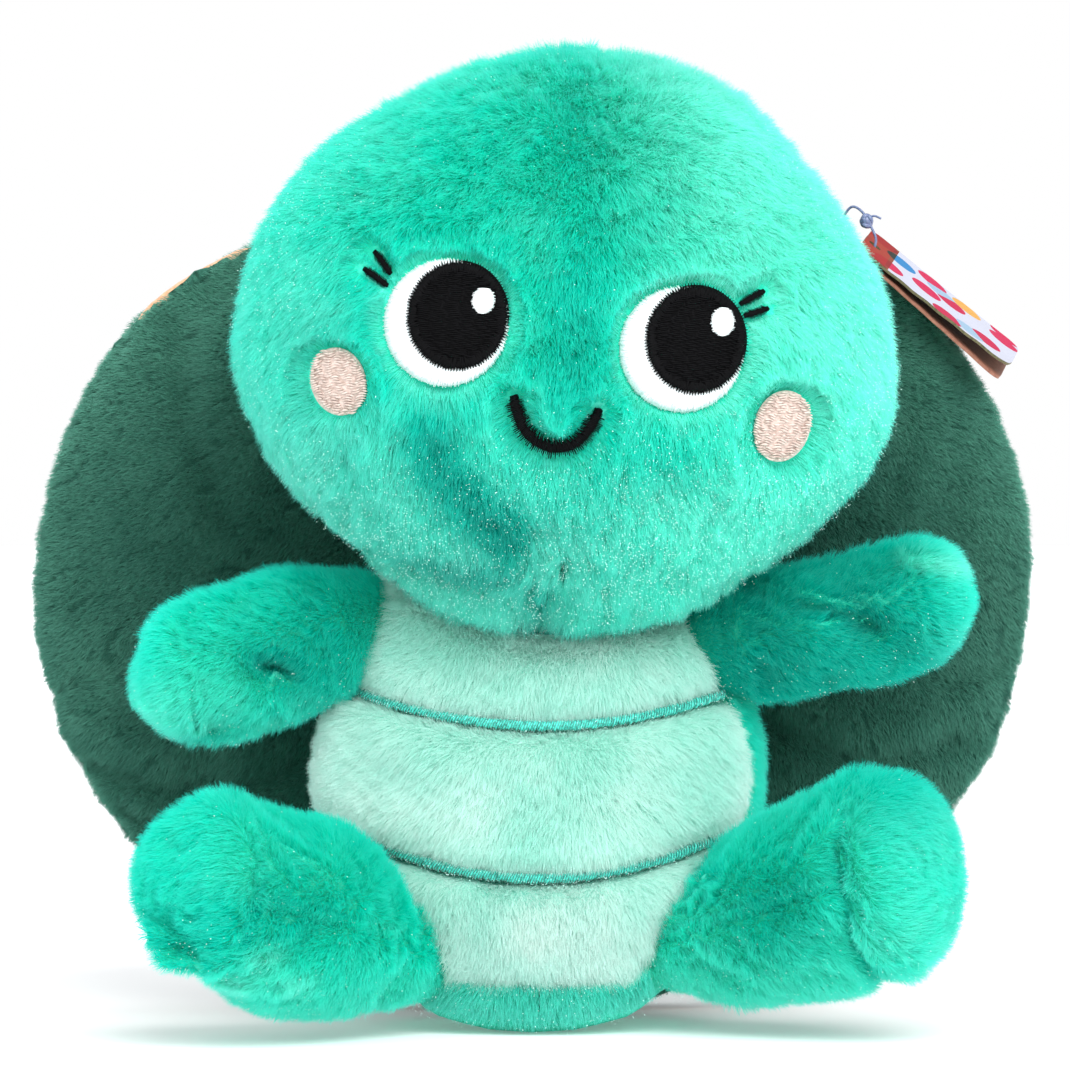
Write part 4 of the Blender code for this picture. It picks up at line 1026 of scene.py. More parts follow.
def head_nap(p, nn):
    """The pile is brushed away from the crown."""
    d = unit(p - CROWN)
    q = head_local(p)
    g = front_gap(q)
    e = 0.4
    x, z = q[:, 0], q[:, 2]
    near = (g < 7) & (q[:, 1] < 0)
    if near.any():
        xn, zn = x[near], z[near]
        gx = feature_gap(xn + e, zn) - feature_gap(xn - e, zn)
        gz = feature_gap(xn, zn + e) - feature_gap(xn, zn - e)
        away = unit(np.stack([gx, np.zeros(len(gx)), gz], 1)) @ HEAD_ROT.T
        w = (1 - step(0.5, 6.0, g[near]))[:, None] * 1.1
        d[near] = d[near] * (1 - w * 0.85) + away * w
    return d + noise3(p, 22.0, 31) * 0.30


def head_length(p, nn):
    q = head_local(p)
    g = front_gap(q)
    low = step(-44, -60, q[:, 2])
    return (6.3 + 1.8 * low) * (0.34 + 0.66 * step(-0.5, 6.5, g)) * (1 + 0.10 * noise(p, 9.0, 8))


def head_lean(p, nn):
    q = head_local(p)
    g = front_gap(q)
    low = step(-46, -58, q[:, 2])
    return np.clip((0.62 + 0.12 * noise(p, 14.0, 9)) * (1 - 0.5 * low) + 0.35 * (1 - step(0, 5, g)), 0, 1)


SAT, FROST_AND_SHEEN = np.array(lin(0, 240, 222)[:3]), np.array(lin(150, 253, 240)[:3])


def patch(q, x, z, rx, rz, lean=0.0):
    """A soft spot on the front, from 0 to 1."""
    c, s = math.cos(math.radians(lean)), math.sin(math.radians(lean))
    dx, dz = q[:, 0] - x, q[:, 2] - z
    return np.exp(-((dx * c + dz * s) / rx) ** 2 - ((-dx * s + dz * c) / rz) ** 2) * (q[:, 1] < 0)


def head_tint(p, nn, rng):
    q = head_local(p)
    # painted sheen: paler towards the lower face, the right, round the outline and in soft patches, where the nap turns
    # to the light
    f = 0.02 + 0.40 * step(2, -48, q[:, 2]) + 0.84 * step(-2, 40, q[:, 0] + 0.15 * q[:, 2]) * step(-14, 26, q[:, 2] + 8)
    f += 0.30 * step(46, 74, np.hypot(q[:, 0], q[:, 2] * 0.95)) + 0.16 * patch(q, -58, -8, 16, 22) + 0.25 * patch(q, 60, -14, 14, 22)
    f += 0.42 * patch(q, 34, -30, 18, 12) + 0.22 * patch(q, -36, -24, 12, 14) + 0.16 * patch(q, -6, -48, 30, 9)
    # painted shade where the pile is turned: darker and more saturated in the hollow beside the mouth, in the fold over
    # the chin, between the eyes and in other hollows
    x, z = q[:, 0], q[:, 2]
    front = q[:, 1] < 0
    band = np.exp(-(path_distance(q[:, [0, 2]], FACE_FOLD) / 5.6) ** 2) * front * step(-10, -22, z) * step(-2, -12, x)
    fold = patch(q, -21.5, -50.0, 16, 2.4, -8) + 0.8 * patch(q, -1.4, -57.0, 3.0, 4.5)
    deep = 0.35 * patch(q, -13, -38, 12, 6) + 0.35 * patch(q, 26, -24, 12, 5, -25)
    deep += 0.45 * patch(q, -1, 12, 7, 16) + 0.22 * patch(q, -4, 58, 6, 14) + 0.3 * patch(q, 2, -5, 9, 9)
    deep += 0.35 * patch(q, -37, -21, 7, 1.6, 38)
    f += 0.10 * noise(p, 18.0, 12) + 0.12 * noise(p, 5.0, 13) + 0.12 * noise(p, 1.6, 15) + rng.normal(0, 0.05, len(p))
    f -= 0.45 * deep + 0.75 * band + 0.45 * fold
    # painted shade: the lower left side of the face is darker and greyer; painted light makes the upper right paler
    lower_left_shade = step(-6, -40, z) * step(34, 0, x) * 0.09 + 0.07 * patch(q, -58, -6, 18, 24)
    f += 0.8 * lower_left_shade + 0.14 * patch(q, 42, 40, 22, 26)
    # the cut pile round each eye shows its pale tips
    eye = np.minimum(*[ellipse_gap(x, z, *e["white"]) for e in EYES.values()])
    f += 0.42 * (1 - step(0.0, 4.5, eye)) * front
    f = np.clip(f, 0, 1)[:, None]
    c = SAT * (1 - f) + FROST_AND_SHEEN * f
    # painted shade in the hollows, the fold over the chin and the lower left
    shade = (1 - 0.20 * np.minimum(deep, 1) - 0.22 * band - 0.30 * np.minimum(fold, 1) - lower_left_shade
             + 0.05 * noise(p, 2.0, 14) + rng.normal(0, 0.04, len(p)))
    return c * np.clip(shade, 0.5, 1.2)[:, None]


def head_keep(p, nn):
    q = head_local(p)
    return (front_gap(q) > 0.25) & (np.linalg.norm(p - NECK, axis=1) > 20.5)


pocket = np.linalg.norm(head_v - NECK, axis=1) - 19.6
HEAD_PANELS = {}
for name, field in (("face_panel", HEAD_SEAM_Y - head_loc[:, 1]),
                    ("head_back_left", np.minimum(head_loc[:, 1] - HEAD_SEAM_Y - 0.3, -head_loc[:, 0] - 0.15)),
                    ("head_back_right", np.minimum(head_loc[:, 1] - HEAD_SEAM_Y - 0.3, head_loc[:, 0] - 0.15))):
    v1, t1, _, pk = clip(head_v, head_t, field, pocket)
    v1, t1, _ = clip(v1, t1, pk)
    ob = panel(name, v1, t1, 1.6, TURQ, "turquoise_pile")
    HEAD_PANELS[name] = (ob, v1, t1)
    _, count = grow(name + "_pile", ob, v1, t1, 11.0 if name == "face_panel" else 6.4, FUR, head_tint, head_length,
                    head_nap, head_lean, 101 + len(name), keep=head_keep, clump=0.14, clump_mm=1.2, curl=0.26,
                    width=0.050, drift=0.20)
    STRANDS[0] += count


def head_glints(p, nn, rng):
    q = head_local(p)
    chance = 0.03 + 0.97 * step(-6, -40, q[:, 2] - 0.25 * q[:, 0]) + 0.25 * step(45, 72, np.abs(q[:, 0]))
    chance *= (0.2 + 0.8 * step(0.15, 0.55, -nn[:, 1])) * (1 - 0.6 * np.exp(-(path_distance(q[:, [0, 2]], FACE_FOLD) / 6.0) ** 2))
    return (rng.random(len(p)) < chance) & (front_gap(q) > 2.0)


def glint_height(p):
    """Near the tips, which stand taller at the chin."""
    return 4.7 + 1.4 * step(-46, -60, head_local(p)[:, 2])


ob, v1, t1 = HEAD_PANELS["face_panel"]
sparkle("face_tinsel", ob, v1, t1, 1.25, 7, glint_height, lambda p, nn: head_nap(p, nn) * 0.6, head_glints)

# -------------------------------------------------------------------- embroidery


def disc(cx, cz, rx, rz, lean, low, high, dome=0.6, nu=72, nr=10):
    """A closed lens of cloth and thread on the face."""
    heap = Heap()
    ph = 2 * np.pi * np.arange(nu) / nu
    rr = np.sin(np.linspace(0, 1, nr + 1)[1:] * np.pi / 2)
    c, s = math.cos(math.radians(lean)), math.sin(math.radians(lean))

    def ring(r, off):
        a, b = r * rx * np.cos(ph), r * rz * np.sin(ph)
        return face_point(cx + a * c + b * s, cz - a * s + b * c, off)
    rows = []
    for r in rr:
        rows.append(ring(r, low + (high - low) * (1 - r**4) ** dome))
    for r in rr[::-1]:
        rows.append(ring(r * 0.97, low - 0.25))
    v = np.vstack([face_point(np.array([cx]), np.array([cz]), high)] + rows
                  + [face_point(np.array([cx]), np.array([cz]), low - 0.25)])
    t = []
    k = len(rows)
    for j in range(nu):
        j2 = (j + 1) % nu
        t.append((0, 1 + j2, 1 + j))
        t.append((len(v) - 1, 1 + (k - 1) * nu + j, 1 + (k - 1) * nu + j2))
        for i in range(k - 1):
            a, b = 1 + i * nu + j, 1 + i * nu + j2
            t.append((a, b, b + nu))
            t.append((a, b + nu, a + nu))
    heap.add(v, np.array(t))
    return heap


def face_stitches(heap, a, b, off0, high, radius, taper=(1.0, 1.0), k=6, wave=0.0, wl=3.0, rng=None):
    """Stitches from a to b, (S, 2) arrays in the face's plane, arched by high above off0."""
    s = np.linspace(0, 1, k)
    xz = a[:, None] + (b - a)[:, None] * s[None, :, None]
    if wave:
        ph = xz[:, :, 0] * 2 * np.pi / wl
        xz[:, :, 1] += wave * np.sin(ph)
    arch = np.sin(np.pi * np.clip(s, 0, 1)) ** 0.5
    off = off0 + high * arch[None, :]
    pts = face_point(xz[:, :, 0].ravel(), xz[:, :, 1].ravel(), np.broadcast_to(off, xz.shape[:2]).ravel()).reshape(len(a), k, 3)
    up = face_normal(xz[:, :, 0].ravel(), xz[:, :, 1].ravel()).reshape(len(a), k, 3)
    r = radius * (taper[0] + (1 - taper[0]) * np.minimum(1, s * 3)) * (taper[1] + (1 - taper[1]) * np.minimum(1, (1 - s) * 3))
    jit = 1.0 if rng is None else rng.uniform(0.85, 1.12, (len(a), 1))
    heap.add(*tubes(pts, r[None] * jit, 5, 0.8, up))


def ellipse_at(e, phi, scale, lean=0.0):
    cx, cz, rx, rz = e[:4]
    c, s = math.cos(math.radians(lean)), math.sin(math.radians(lean))
    a, b = scale * rx * np.cos(phi), scale * rz * np.sin(phi)
    return np.stack([cx + a * c + b * s, cz - a * s + b * c], 1)


for side, eye in EYES.items():
    rng = np.random.default_rng(21 if side == "left" else 22)
    white, black, glint = eye["white"], eye["black"], eye["glint"]
    heap = disc(*white, 0.0, 0.2, 1.15)
    count = 300
    phi = 2 * np.pi * (np.arange(count) + rng.uniform(-0.2, 0.2, count)) / count
    outer = ellipse_at(white, phi, 1.0 + rng.uniform(-0.012, 0.03, count)[:])
    centre = np.array(black[:2])
    ray = outer - centre
    inner_r = 0.86 / np.maximum(np.hypot(ray[:, 0] / black[2], ray[:, 1] / black[3]), 1e-6)
    inner = centre + ray * np.minimum(inner_r, 0.93)[:, None]
    face_stitches(heap, outer, inner, 0.35, 1.05, 0.20, (0.5, 1.0), 7, rng=rng)
    piece("eye_white_" + side, *heap.arrays(), WHITE, "white_thread")
    # iris: short edge stitches with sharp ends over the white, and rows of fill inside
    heap = disc(*black, 0.0, 0.9, 1.75)
    count = 228
    phi = 2 * np.pi * (np.arange(count) + rng.uniform(-0.2, 0.2, count)) / count
    outer = ellipse_at(black, phi, 1.0 + np.where(np.arange(count) % 2 == 0, 0.030, -0.022) + rng.uniform(-0.008, 0.014, count))
    inner = ellipse_at(black, phi, rng.uniform(0.72, 0.82, count))
    face_stitches(heap, outer, inner, 1.25, 0.75, 0.27, (0.2, 0.8), 6, rng=rng)
    a, b = [], []
    for zr in np.arange(-0.86, 0.87, 0.46 / black[3]):
        half = math.sqrt(max(0.0, 0.80 - zr * zr))
        x = -half + rng.uniform(0, 0.1)
        while x < half - 0.08:
            w = min(rng.uniform(0.22, 0.32), half - x)
            a.append((black[0] + x * black[2], black[1] + zr * black[3]))
            b.append((black[0] + (x + w) * black[2], black[1] + zr * black[3] + rng.uniform(-0.1, 0.1)))
            x += w + 0.02
    face_stitches(heap, np.array(a), np.array(b), 1.72, 0.22, 0.22, (0.5, 0.5), 5, 0.08, 3.0, rng)
    piece("eye_black_" + side, *heap.arrays(), BLACK, "black_thread")
    heap = disc(*glint, 0.0, 1.9, 2.35, nu=40, nr=6)
    rows = np.arange(-0.94, 0.95, 0.36 / glint[3])
    half = np.sqrt(np.maximum(0.0, 1.0 - rows**2))
    jag = rng.uniform(-0.02, 0.16, (2, len(rows)))
    a = np.stack([glint[0] - (half + jag[0]) * glint[2], glint[1] + rows * glint[3]], 1)
    b = np.stack([glint[0] + (half + jag[1]) * glint[2], glint[1] + rows * glint[3] + 0.1], 1)
    face_stitches(heap, a, b, 2.0, 0.62, 0.22, (0.5, 0.5), 7, rng=rng)
    piece("eye_glint_" + side, *heap.arrays(), WHITE, "white_thread")

for name, (cx, cz, rx, rz, lean) in CHEEKS.items():
    rng = np.random.default_rng(31 if "left" in name else 32)
    heap = disc(cx, cz, rx, rz, lean, 0.2, 1.0, nu=56)
    c, s = math.cos(math.radians(lean)), math.sin(math.radians(lean))
    a, b = [], []
    tilt = -0.16 if "left" in name else 0.09
    for i, zr in enumerate(np.arange(-0.95, 0.96, 0.60 / rz)):
        half = math.sqrt(max(0.0, 1.0 - zr * zr)) + rng.uniform(-0.02, 0.04)
        x = -half
        first = True
        while x < half - 0.05:
            w = min(rng.uniform(0.28, 0.5) * (0.6 if first and i % 2 else 1.0), half - x)
            first = False
            for store, xx in ((a, x), (b, x + w)):
                u0, u1 = xx * rx, zr * rz + tilt * xx * rx
                store.append((cx + u0 * c + u1 * s, cz - u0 * s + u1 * c))
            x += w + 0.035
    face_stitches(heap, np.array(a), np.array(b), 0.78, 0.46, 0.27, (0.3, 0.3), 7, 0.2, 3.4, rng)
    piece(name, *heap.arrays(), BLUSH, "blush_thread")


def satin(path_xz, half, spacing, off0, high, radius, rng, jag=0.12):
    """Side-to-side stitches along a line on the face, packed close, with a cord under them."""
    heap = Heap()
    t = np.linspace(0, 1, 400)
    p = spline(path_xz, t)
    seg = np.concatenate([[0], np.cumsum(np.linalg.norm(np.diff(p, axis=0), axis=1))])
    count = int(seg[-1] / spacing)
    at = np.linspace(0, seg[-1], count)
    q = np.stack([np.interp(at, seg, p[:, k]) for k in range(2)], 1)
    d = unit(np.gradient(q, axis=0))
    w = np.stack([-d[:, 1], d[:, 0]], 1)
    edge = np.minimum(at, seg[-1] - at)
    wide = half * np.sqrt(np.clip(edge / (half * 1.1), 0.12, 1))
    j = rng.uniform(1 - jag, 1 + jag, (2, count))
    slant = d * 0.18
    a = q + w * (wide * j[0])[:, None] - slant
    b = q - w * (wide * j[1])[:, None] + slant
    face_stitches(heap, a, b, off0, high, radius, (0.45, 0.45), 7, rng=rng)
    core = np.stack([np.interp(np.linspace(0, seg[-1], 48), seg, p[:, k]) for k in range(2)], 1)
    pts = face_point(core[:, 0], core[:, 1], off0 + 0.1)[None]
    heap.add(*tubes(pts, half * 0.55, 8, 0.6, face_normal(core[:, 0], core[:, 1])[None]))
    return heap


piece("mouth", *satin(MOUTH, MOUTH_W + 0.72, 0.40, 0.7, 1.45, 0.24, np.random.default_rng(41), 0.3).arrays(), BLACK, "black_thread")
for k, (name, ends) in enumerate(LASHES.items()):
    a, b = np.array(ends)
    mid = (a + b) / 2 + np.array((0.25 if "left" in name else -0.25, -0.15))
    piece(name, *satin([a, mid, b], 1.12, 0.28, 0.45, 1.0, 0.20, np.random.default_rng(51 + k)).arrays(), BLACK, "black_thread")

# -------------------------------------------------------------------------- body


def body_grid(nu, nv):
    """The body's own grid: a flat base, then sections up to the neck."""
    u, t = ball_grid(nu, nv)
    k = np.round(np.arccos(np.clip(-u[:, 2], -1, 1)) / np.pi * nv)
    base_rows = max(4, nv // 12)
    z = np.interp(k, [base_rows, base_rows + nv * 0.14, nv * 0.92, nv], [0.0, 7.0, 120.0, BODY_TOP - 0.05])
    r = np.clip(k / base_rows, 0, 1)
    s = body_section(z)
    ang = np.arctan2(u[:, 1], u[:, 0])
    c, sn = np.cos(ang), np.sin(ang)
    depth = np.where(sn < 0, s[:, 1], s[:, 2])
    return np.stack([BODY_X + s[:, 0] * c * r, depth * sn * r, np.where(k < base_rows, 0.0, z)], 1), t


def belly_in(p):
    d = inside_outline(p[:, [0, 2]], BELLY)
    return np.where(p[:, 1] < 0, d, -np.maximum(np.abs(d), p[:, 1]))


def limb_gap_all(p, room, flare=True):
    g = np.full(len(p), 1e9)
    for key in LIMB:
        g = np.minimum(g, LIMB[key].gap(p, room, flare, 0.55 if key.startswith("leg") else 1.0))
    return g


def line_gaps(p):
    return [np.where(p[:, 1] < 0, p[:, 2] - line_z(pts, p[:, 0]), 99.0) for pts in (LINE_UPPER, LINE_LOWER)]


def body_relief(p):
    front = p[:, 1] < 0
    b = inside_outline(p[:, [0, 2]], BELLY)
    inside = step(0, 6, b) * front
    d = -1.4 * np.exp(-(b / 2.2) ** 2) * front
    for g in line_gaps(p):
        d += inside * (-2.6 * np.exp(-(g / 3.6) ** 2) + 0.9 * np.exp(-((np.abs(g) - 10.0) / 6.0) ** 2))
    d += 1.6 * inside * np.exp(-(((p[:, 0] - 1) / 34) ** 2 + ((p[:, 2] - 60) / 13) ** 2))
    d += 1.0 * inside * np.exp(-(((p[:, 0] - 1) / 30) ** 2 + ((p[:, 2] - 24) / 10) ** 2))
    d += (0.8 * noise(p, 17.0, 61) + 0.45 * noise(p, 8.0, 62) + locks(p, 0.12, 3.0, 63)) * step(4, 8, p[:, 2])
    # the belly sinks away under the chin, and its sides bulge over the seat
    d -= 1.8 * (1 - step(0.0, 9.0, head_gap(p, 5.2))) * front
    wide = step(0.70, 1.0, np.abs(p[:, 0] - BODY_X) / np.maximum(body_section(np.clip(p[:, 2], 1, 120))[:, 0], 1.0))
    d += wide * np.exp(-((p[:, 2] - 63) / 24) ** 2) * np.where(p[:, 0] < 0, 2.7, 1.8)
    d -= 1.2 * np.exp(-((p[:, 2] - BASE_TOP) / 1.6) ** 2)
    return d * step(-0.5, 3.0, p[:, 2])


def seat_lift(p):
    """The filled seat is rounder than its form: its corners rise off the floor."""
    far = np.where(p[:, 0] > 0, p[:, 0], -p[:, 0] - 1.0)
    up = np.interp(far, [0, 10, 16, 23, 27, 30, 33, 40], [0, 0.5, 1.7, 3.2, 5.2, 7.6, 9.2, 10.0])
    return up * (1 - step(2.0, 20.0, p[:, 2]))


body0, bt0 = body_grid(72, 60)
bpin = np.clip(np.exp(-(inside_outline(body0[:, [0, 2]], BELLY) / 3.0) ** 2) * (body0[:, 1] < 0)
               + sum(np.exp(-(g / 3.0) ** 2) for g in line_gaps(body0)) + (body0[:, 2] < 5.0) * 1.0
               + (body0[:, 2] > 105) * 1.0, 0, 1)
bmove = stuffed("body", body0, bt0, bpin, pressure=2.5, slack=0.02, cap=2.2)
BN = ((380, 300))
body_v, body_t = body_grid(*BN)
bshape = body_v.copy()
body_v = body_v + upsample(bmove, 72, 60, *BN) * 0.8
body_v = body_v + normals_of(body_v, body_t) * body_relief(bshape)[:, None]
body_v[:, 2] = np.maximum(body_v[:, 2], 0.0) + seat_lift(bshape)
BODY_PANELS = {}
room_head = head_gap(bshape, 5.2)
room_limb = limb_gap_all(bshape, POCKET)
# the skin runs on a little under the drawn-in inner edge of each leg
room_limb += 3.6 * (bshape[:, 1] < -20) * (
    np.exp(-((bshape[:, 0] + 29) / 13) ** 2 - ((bshape[:, 2] - 43) / 14) ** 2)
    + np.exp(-((bshape[:, 0] - 34) / 13) ** 2 - ((bshape[:, 2] - 43) / 14) ** 2))
bb = belly_in(bshape)
for name, field, skin, slot in (
        ("belly_panel", np.minimum(bb - 0.2, bshape[:, 2] - BASE_TOP - 0.3), MINT, "mint_pile"),
        ("body_back_left", np.minimum(np.minimum(-bb - 0.2, BODY_X - bshape[:, 0] - 0.15), bshape[:, 2] - BASE_TOP - 0.3), TURQ, "turquoise_pile"),
        ("body_back_right", np.minimum(np.minimum(-bb - 0.2, bshape[:, 0] - BODY_X - 0.15), bshape[:, 2] - BASE_TOP - 0.3), TURQ, "turquoise_pile"),
        ("body_base_panel", BASE_TOP - bshape[:, 2], TURQ, "turquoise_pile")):
    v1, t1, _, a1, a2, z1 = clip(body_v, body_t, field, room_head, room_limb, bshape)
    if name != "body_base_panel":
        v1, t1, _, a2, z1 = clip(v1, t1, a1, a2, z1)
        v1, t1, _, z1 = clip(v1, t1, a2, z1)
    ob = panel(name, v1, t1, 1.5, skin, slot)
    BODY_PANELS[name] = (ob, v1, t1)


def down_out(p, nn):
    """Pile that hangs down and away from the middle."""
    d = np.stack([(p[:, 0] - BODY_X) * 0.012, np.full(len(p), -0.15), np.full(len(p), -1.0)], 1)
    return unit(d) + noise3(p, 16.0, 71) * 0.4


def belly_nap(p, nn):
    """Like down_out, but brushed up against the chin along the top edge."""
    d = down_out(p, nn)
    w = (1 - step(-1.0, 15.0, head_gap(p, 5.2)))[:, None]
    d = d * (1 - w) + np.array((0, -1.0, 0.15)) * w * 1.1
    edge = step(10, 1, inside_outline(p[:, [0, 2]], BELLY)) * step(30, 42, p[:, 2]) * (p[:, 0] < 0)
    return d + np.array((-1.2, 0.3, 0.0)) * edge[:, None]


def belly_length(p, nn):
    g = line_gaps(p)
    near = np.minimum(np.abs(g[0]), np.abs(g[1]))
    above = np.minimum(np.where(g[0] > 0, g[0], 99), np.where(g[1] > 0, g[1], 99))
    ln = 5.2 * (0.35 + 0.65 * step(0.8, 5.0, near)) * np.where(above < 8, 0.85, 1.0)
    low = step(18, 10, p[:, 2])
    return ln * (1 + 0.25 * low + 0.25 * (1 - step(0.5, 7.0, head_gap(p, 5.2)))) * (1 + 0.08 * noise(p, 8.0, 72))


BELLY_DEEP, BELLY_PALE = np.array(lin(180, 243, 232)[:3]), np.array(lin(249, 255, 252)[:3])
LINE_SHADOW_TEAL = np.array(lin(24, 172, 154)[:3])


def belly_tint(p, nn, rng):
    f = 0.58 - 0.02 * step(80, 104, p[:, 2]) + 0.10 * step(50, 20, p[:, 2])
    f += 0.22 * noise(p, 14.0, 73) + 0.08 * noise(p, 3.5, 74) + rng.normal(0, 0.05, len(p))
    f = np.clip(f, 0, 1)[:, None]
    # painted shadow: a little darker just under the chin, and darker towards the bottom
    under = (1 - 0.03 * (1 - step(0, 6, head_gap(p, 5.2)))) * (1 - 0.05 * step(46, 20, p[:, 2]))
    c = (BELLY_DEEP * (1 - f) + BELLY_PALE * f) * (under * np.clip(1 + rng.normal(0, 0.02, len(p)), 0.8, 1.1))[:, None]
    # painted shadow: the pile along the lower edge of each line is tinted dark teal
    g = line_gaps(p)
    w = np.maximum(*[np.exp(-((x + 1.7) / 0.62) ** 2) * (x < 0) for x in g])[:, None] * 0.9
    return c * (1 - w) + LINE_SHADOW_TEAL * w


def belly_keep(p, nn):
    g = line_gaps(p)
    return (np.abs(g[0]) > LINE_W * 0.50) & (np.abs(g[1]) > LINE_W * 0.50)


def side_tint(p, nn, rng):
    f = 0.16 + 0.16 * noise(p, 15.0, 75) + 0.10 * noise(p, 4.0, 76) + rng.normal(0, 0.05, len(p))
    f += 0.50 * step(22, 8, p[:, 2]) * (p[:, 1] < 0)
    f = np.clip(f, 0, 1)[:, None]
    # painted shade: the seat's front strip is darker
    seat = 1 - 0.15 * step(22, 10, p[:, 2]) * (p[:, 1] < 0)
    return (SAT * (1 - f) + FROST_AND_SHEEN * f) * (seat * np.clip(1 + rng.normal(0, 0.04, len(p)), 0.75, 1.2))[:, None]


ob, v1, t1 = BODY_PANELS["belly_panel"]
_, count = grow("belly_pile", ob, v1, t1, 14.0, FUR_MINT, belly_tint, belly_length, belly_nap,
                lambda p, nn: 0.58 + 0.10 * noise(p, 12.0, 77), 201, keep=belly_keep, width=0.044, curl=0.05,
                drift=0.10, wild=0.12)
STRANDS[0] += count
sparkle("belly_tinsel", ob, v1, t1, 0.50, 8, 3.6, down_out,
        lambda p, nn, rng: rng.random(len(p)) < 0.16 + 0.84 * step(10, 2, inside_outline(p[:, [0, 2]], BELLY))
        + 0.4 * (np.minimum(np.abs(line_gaps(p)[0]), np.abs(line_gaps(p)[1])) < 4))


def side_length(p, nn):
    """Shorter along the seam at the belly's left edge and under the seat's corners."""
    left = (p[:, 0] < 0) * step(16, 3, p[:, 1]) * step(28, 40, p[:, 2])
    low = step(16, 6, p[:, 2]) * step(14, 30, np.abs(p[:, 0]))
    return (5.0 + 0.4 * noise(p, 9.0, 78)) * (1 - 0.55 * left) * (1 - 0.4 * low)


def side_keep(p, nn):
    return (p[:, 2] > 1.2) & (limb_gap_all(p, 0.0, False) > 1.0)


for name in ("body_back_left", "body_back_right"):
    ob, v1, t1 = BODY_PANELS[name]
    _, count = grow(name + "_pile", ob, v1, t1, 7.6, FUR, side_tint, side_length,
                    down_out, lambda p, nn: np.full(len(p), 0.6), 205 + len(name), keep=side_keep, width=0.050, drift=0.14)
    sparkle(name + "_tinsel", ob, v1, t1, 0.30, 9, 3.6, down_out,
            lambda p, nn, rng: (rng.random(len(p)) < 0.9) & (p[:, 1] < 0) & (p[:, 2] < 24))
    STRANDS[0] += count

for name, pts in (("belly_line_upper", LINE_UPPER), ("belly_line_lower", LINE_LOWER)):
    rng = np.random.default_rng(61 + len(name))
    heap = Heap()
    a, m, b = (np.array(p) for p in pts)
    c = m * 2 - (a + b) * 0.5

    def on_line(t, side, lift, c=c, a=a, b=b):
        q = a * ((1 - t) ** 2)[:, None] + c * (2 * t * (1 - t))[:, None] + b * (t * t)[:, None]
        g = 2 * (1 - t)[:, None] * (c - a) + 2 * t[:, None] * (b - c)
        g = unit(g)
        w = np.stack([-g[:, 1], g[:, 0]], 1)
        q = q + w * side[:, None] + g * (side * 0.42)[:, None]
        s = body_section(q[:, 1])
        k = np.clip((q[:, 0] - BODY_X) / s[:, 0], -0.999, 0.999)
        y = -s[:, 1] * np.sqrt(1 - k * k)
        n = unit(np.stack([k / s[:, 0], -np.sqrt(1 - k * k) / s[:, 1], np.zeros(len(t))], 1))
        return np.stack([q[:, 0], y, q[:, 1]], 1) + n * lift[:, None], n
    length = 92.0
    count = int(length / 0.62)
    t = np.linspace(0.003, 0.997, count)
    half = LINE_W / 2 + 0.12
    rows, ups = [], []
    jag = np.stack([rng.uniform(0.86, 1.32, count), rng.uniform(0.9, 1.1, count)])
    for sv in np.linspace(-1, 1, 7):
        side = sv * half * np.where(sv < 0, jag[0], jag[1])
        lift = 0.1 + 1.25 * math.sqrt(max(0.0, 1 - sv * sv)) ** 0.9 + np.zeros(count)
        p, n = on_line(t, side, lift)
        rows.append(p)
        ups.append(n)
    heap.add(*tubes(np.stack(rows, 1), rng.uniform(0.25, 0.31, (count, 1)) * np.ones((1, 7)), 6, 0.9, np.stack(ups, 1)))
    tt = np.linspace(0, 1, 80)
    p, n = on_line(tt, np.zeros(80), np.full(80, 0.2))
    heap.add(*tubes(p[None], 0.7, 8, 0.8, n[None]))
    piece(name, *heap.arrays(), TEAL, "teal_thread")

# ------------------------------------------------------------------------- fills


def fluff(v, t, n, amount=0.7, seed=0):
    """Lumps of fibrefill."""
    return v + n * (amount * noise(v, 9.0, seed) + amount * 0.5 * noise(v, 4.0, seed + 1))[:, None]


def fill_piece(name, v, t, fields=()):
    fv = fluff(v, t, normals_of(v, t), 0.55, len(name))
    for f in fields:
        if f == "neck":
            fv, t, _ = clip(fv, t, np.linalg.norm(fv - NECK, axis=1) - 19.6)
        elif f == "head":
            fv, t, _ = clip(fv, t, head_gap(fv, HEAD_ROOM + 0.4))
        elif f == "limbs":
            fv, t, _ = clip(fv, t, limb_gap_all(fv, POCKET))
        elif f == "pouch":
            fv, t, _ = clip(fv, t, fv[:, 2] - 17.6)
        elif f == "body":
            fv, t, _ = clip(fv, t, body_out(fv) - 1.4)
        elif isinstance(f, tuple):
            fv, t, _ = clip(fv, t, np.linalg.norm(fv - f[0], axis=1) - f[1])
    sv, st = thicken(fv, t, normals_of(fv, t), 3.0) if fields else (fv, t)
    ob = piece(name, sv, st, FILL, "stuffing")
    return ob


def body_out(p):
    """About how far p is outside the body's form."""
    s = body_section(np.clip(p[:, 2], 0.5, BODY_TOP - 1.5))
    y = np.where(p[:, 1] < 0, s[:, 1], s[:, 2])
    r = np.hypot((p[:, 0] - BODY_X) / s[:, 0], p[:, 1] / y)
    side = (r - 1) / np.maximum(r, 1e-6) * np.hypot(p[:, 0] - BODY_X, p[:, 1])
    return np.maximum(side, p[:, 2] - BODY_TOP)


u1, t1 = ball_grid(90, 60)
hq = head_form(u1, -5.2)
hq = hq + normals_of(hq, t1) * head_outline(hq)[:, None]
fill_piece("head_stuffing", head_world(hq), t1, ("neck",))
b1, t1 = body_grid(80, 60)
s1 = normals_of(b1, t1)
fill_piece("body_stuffing", b1 - s1 * 3.6, t1, ("pouch", "head", "neck", "limbs"))

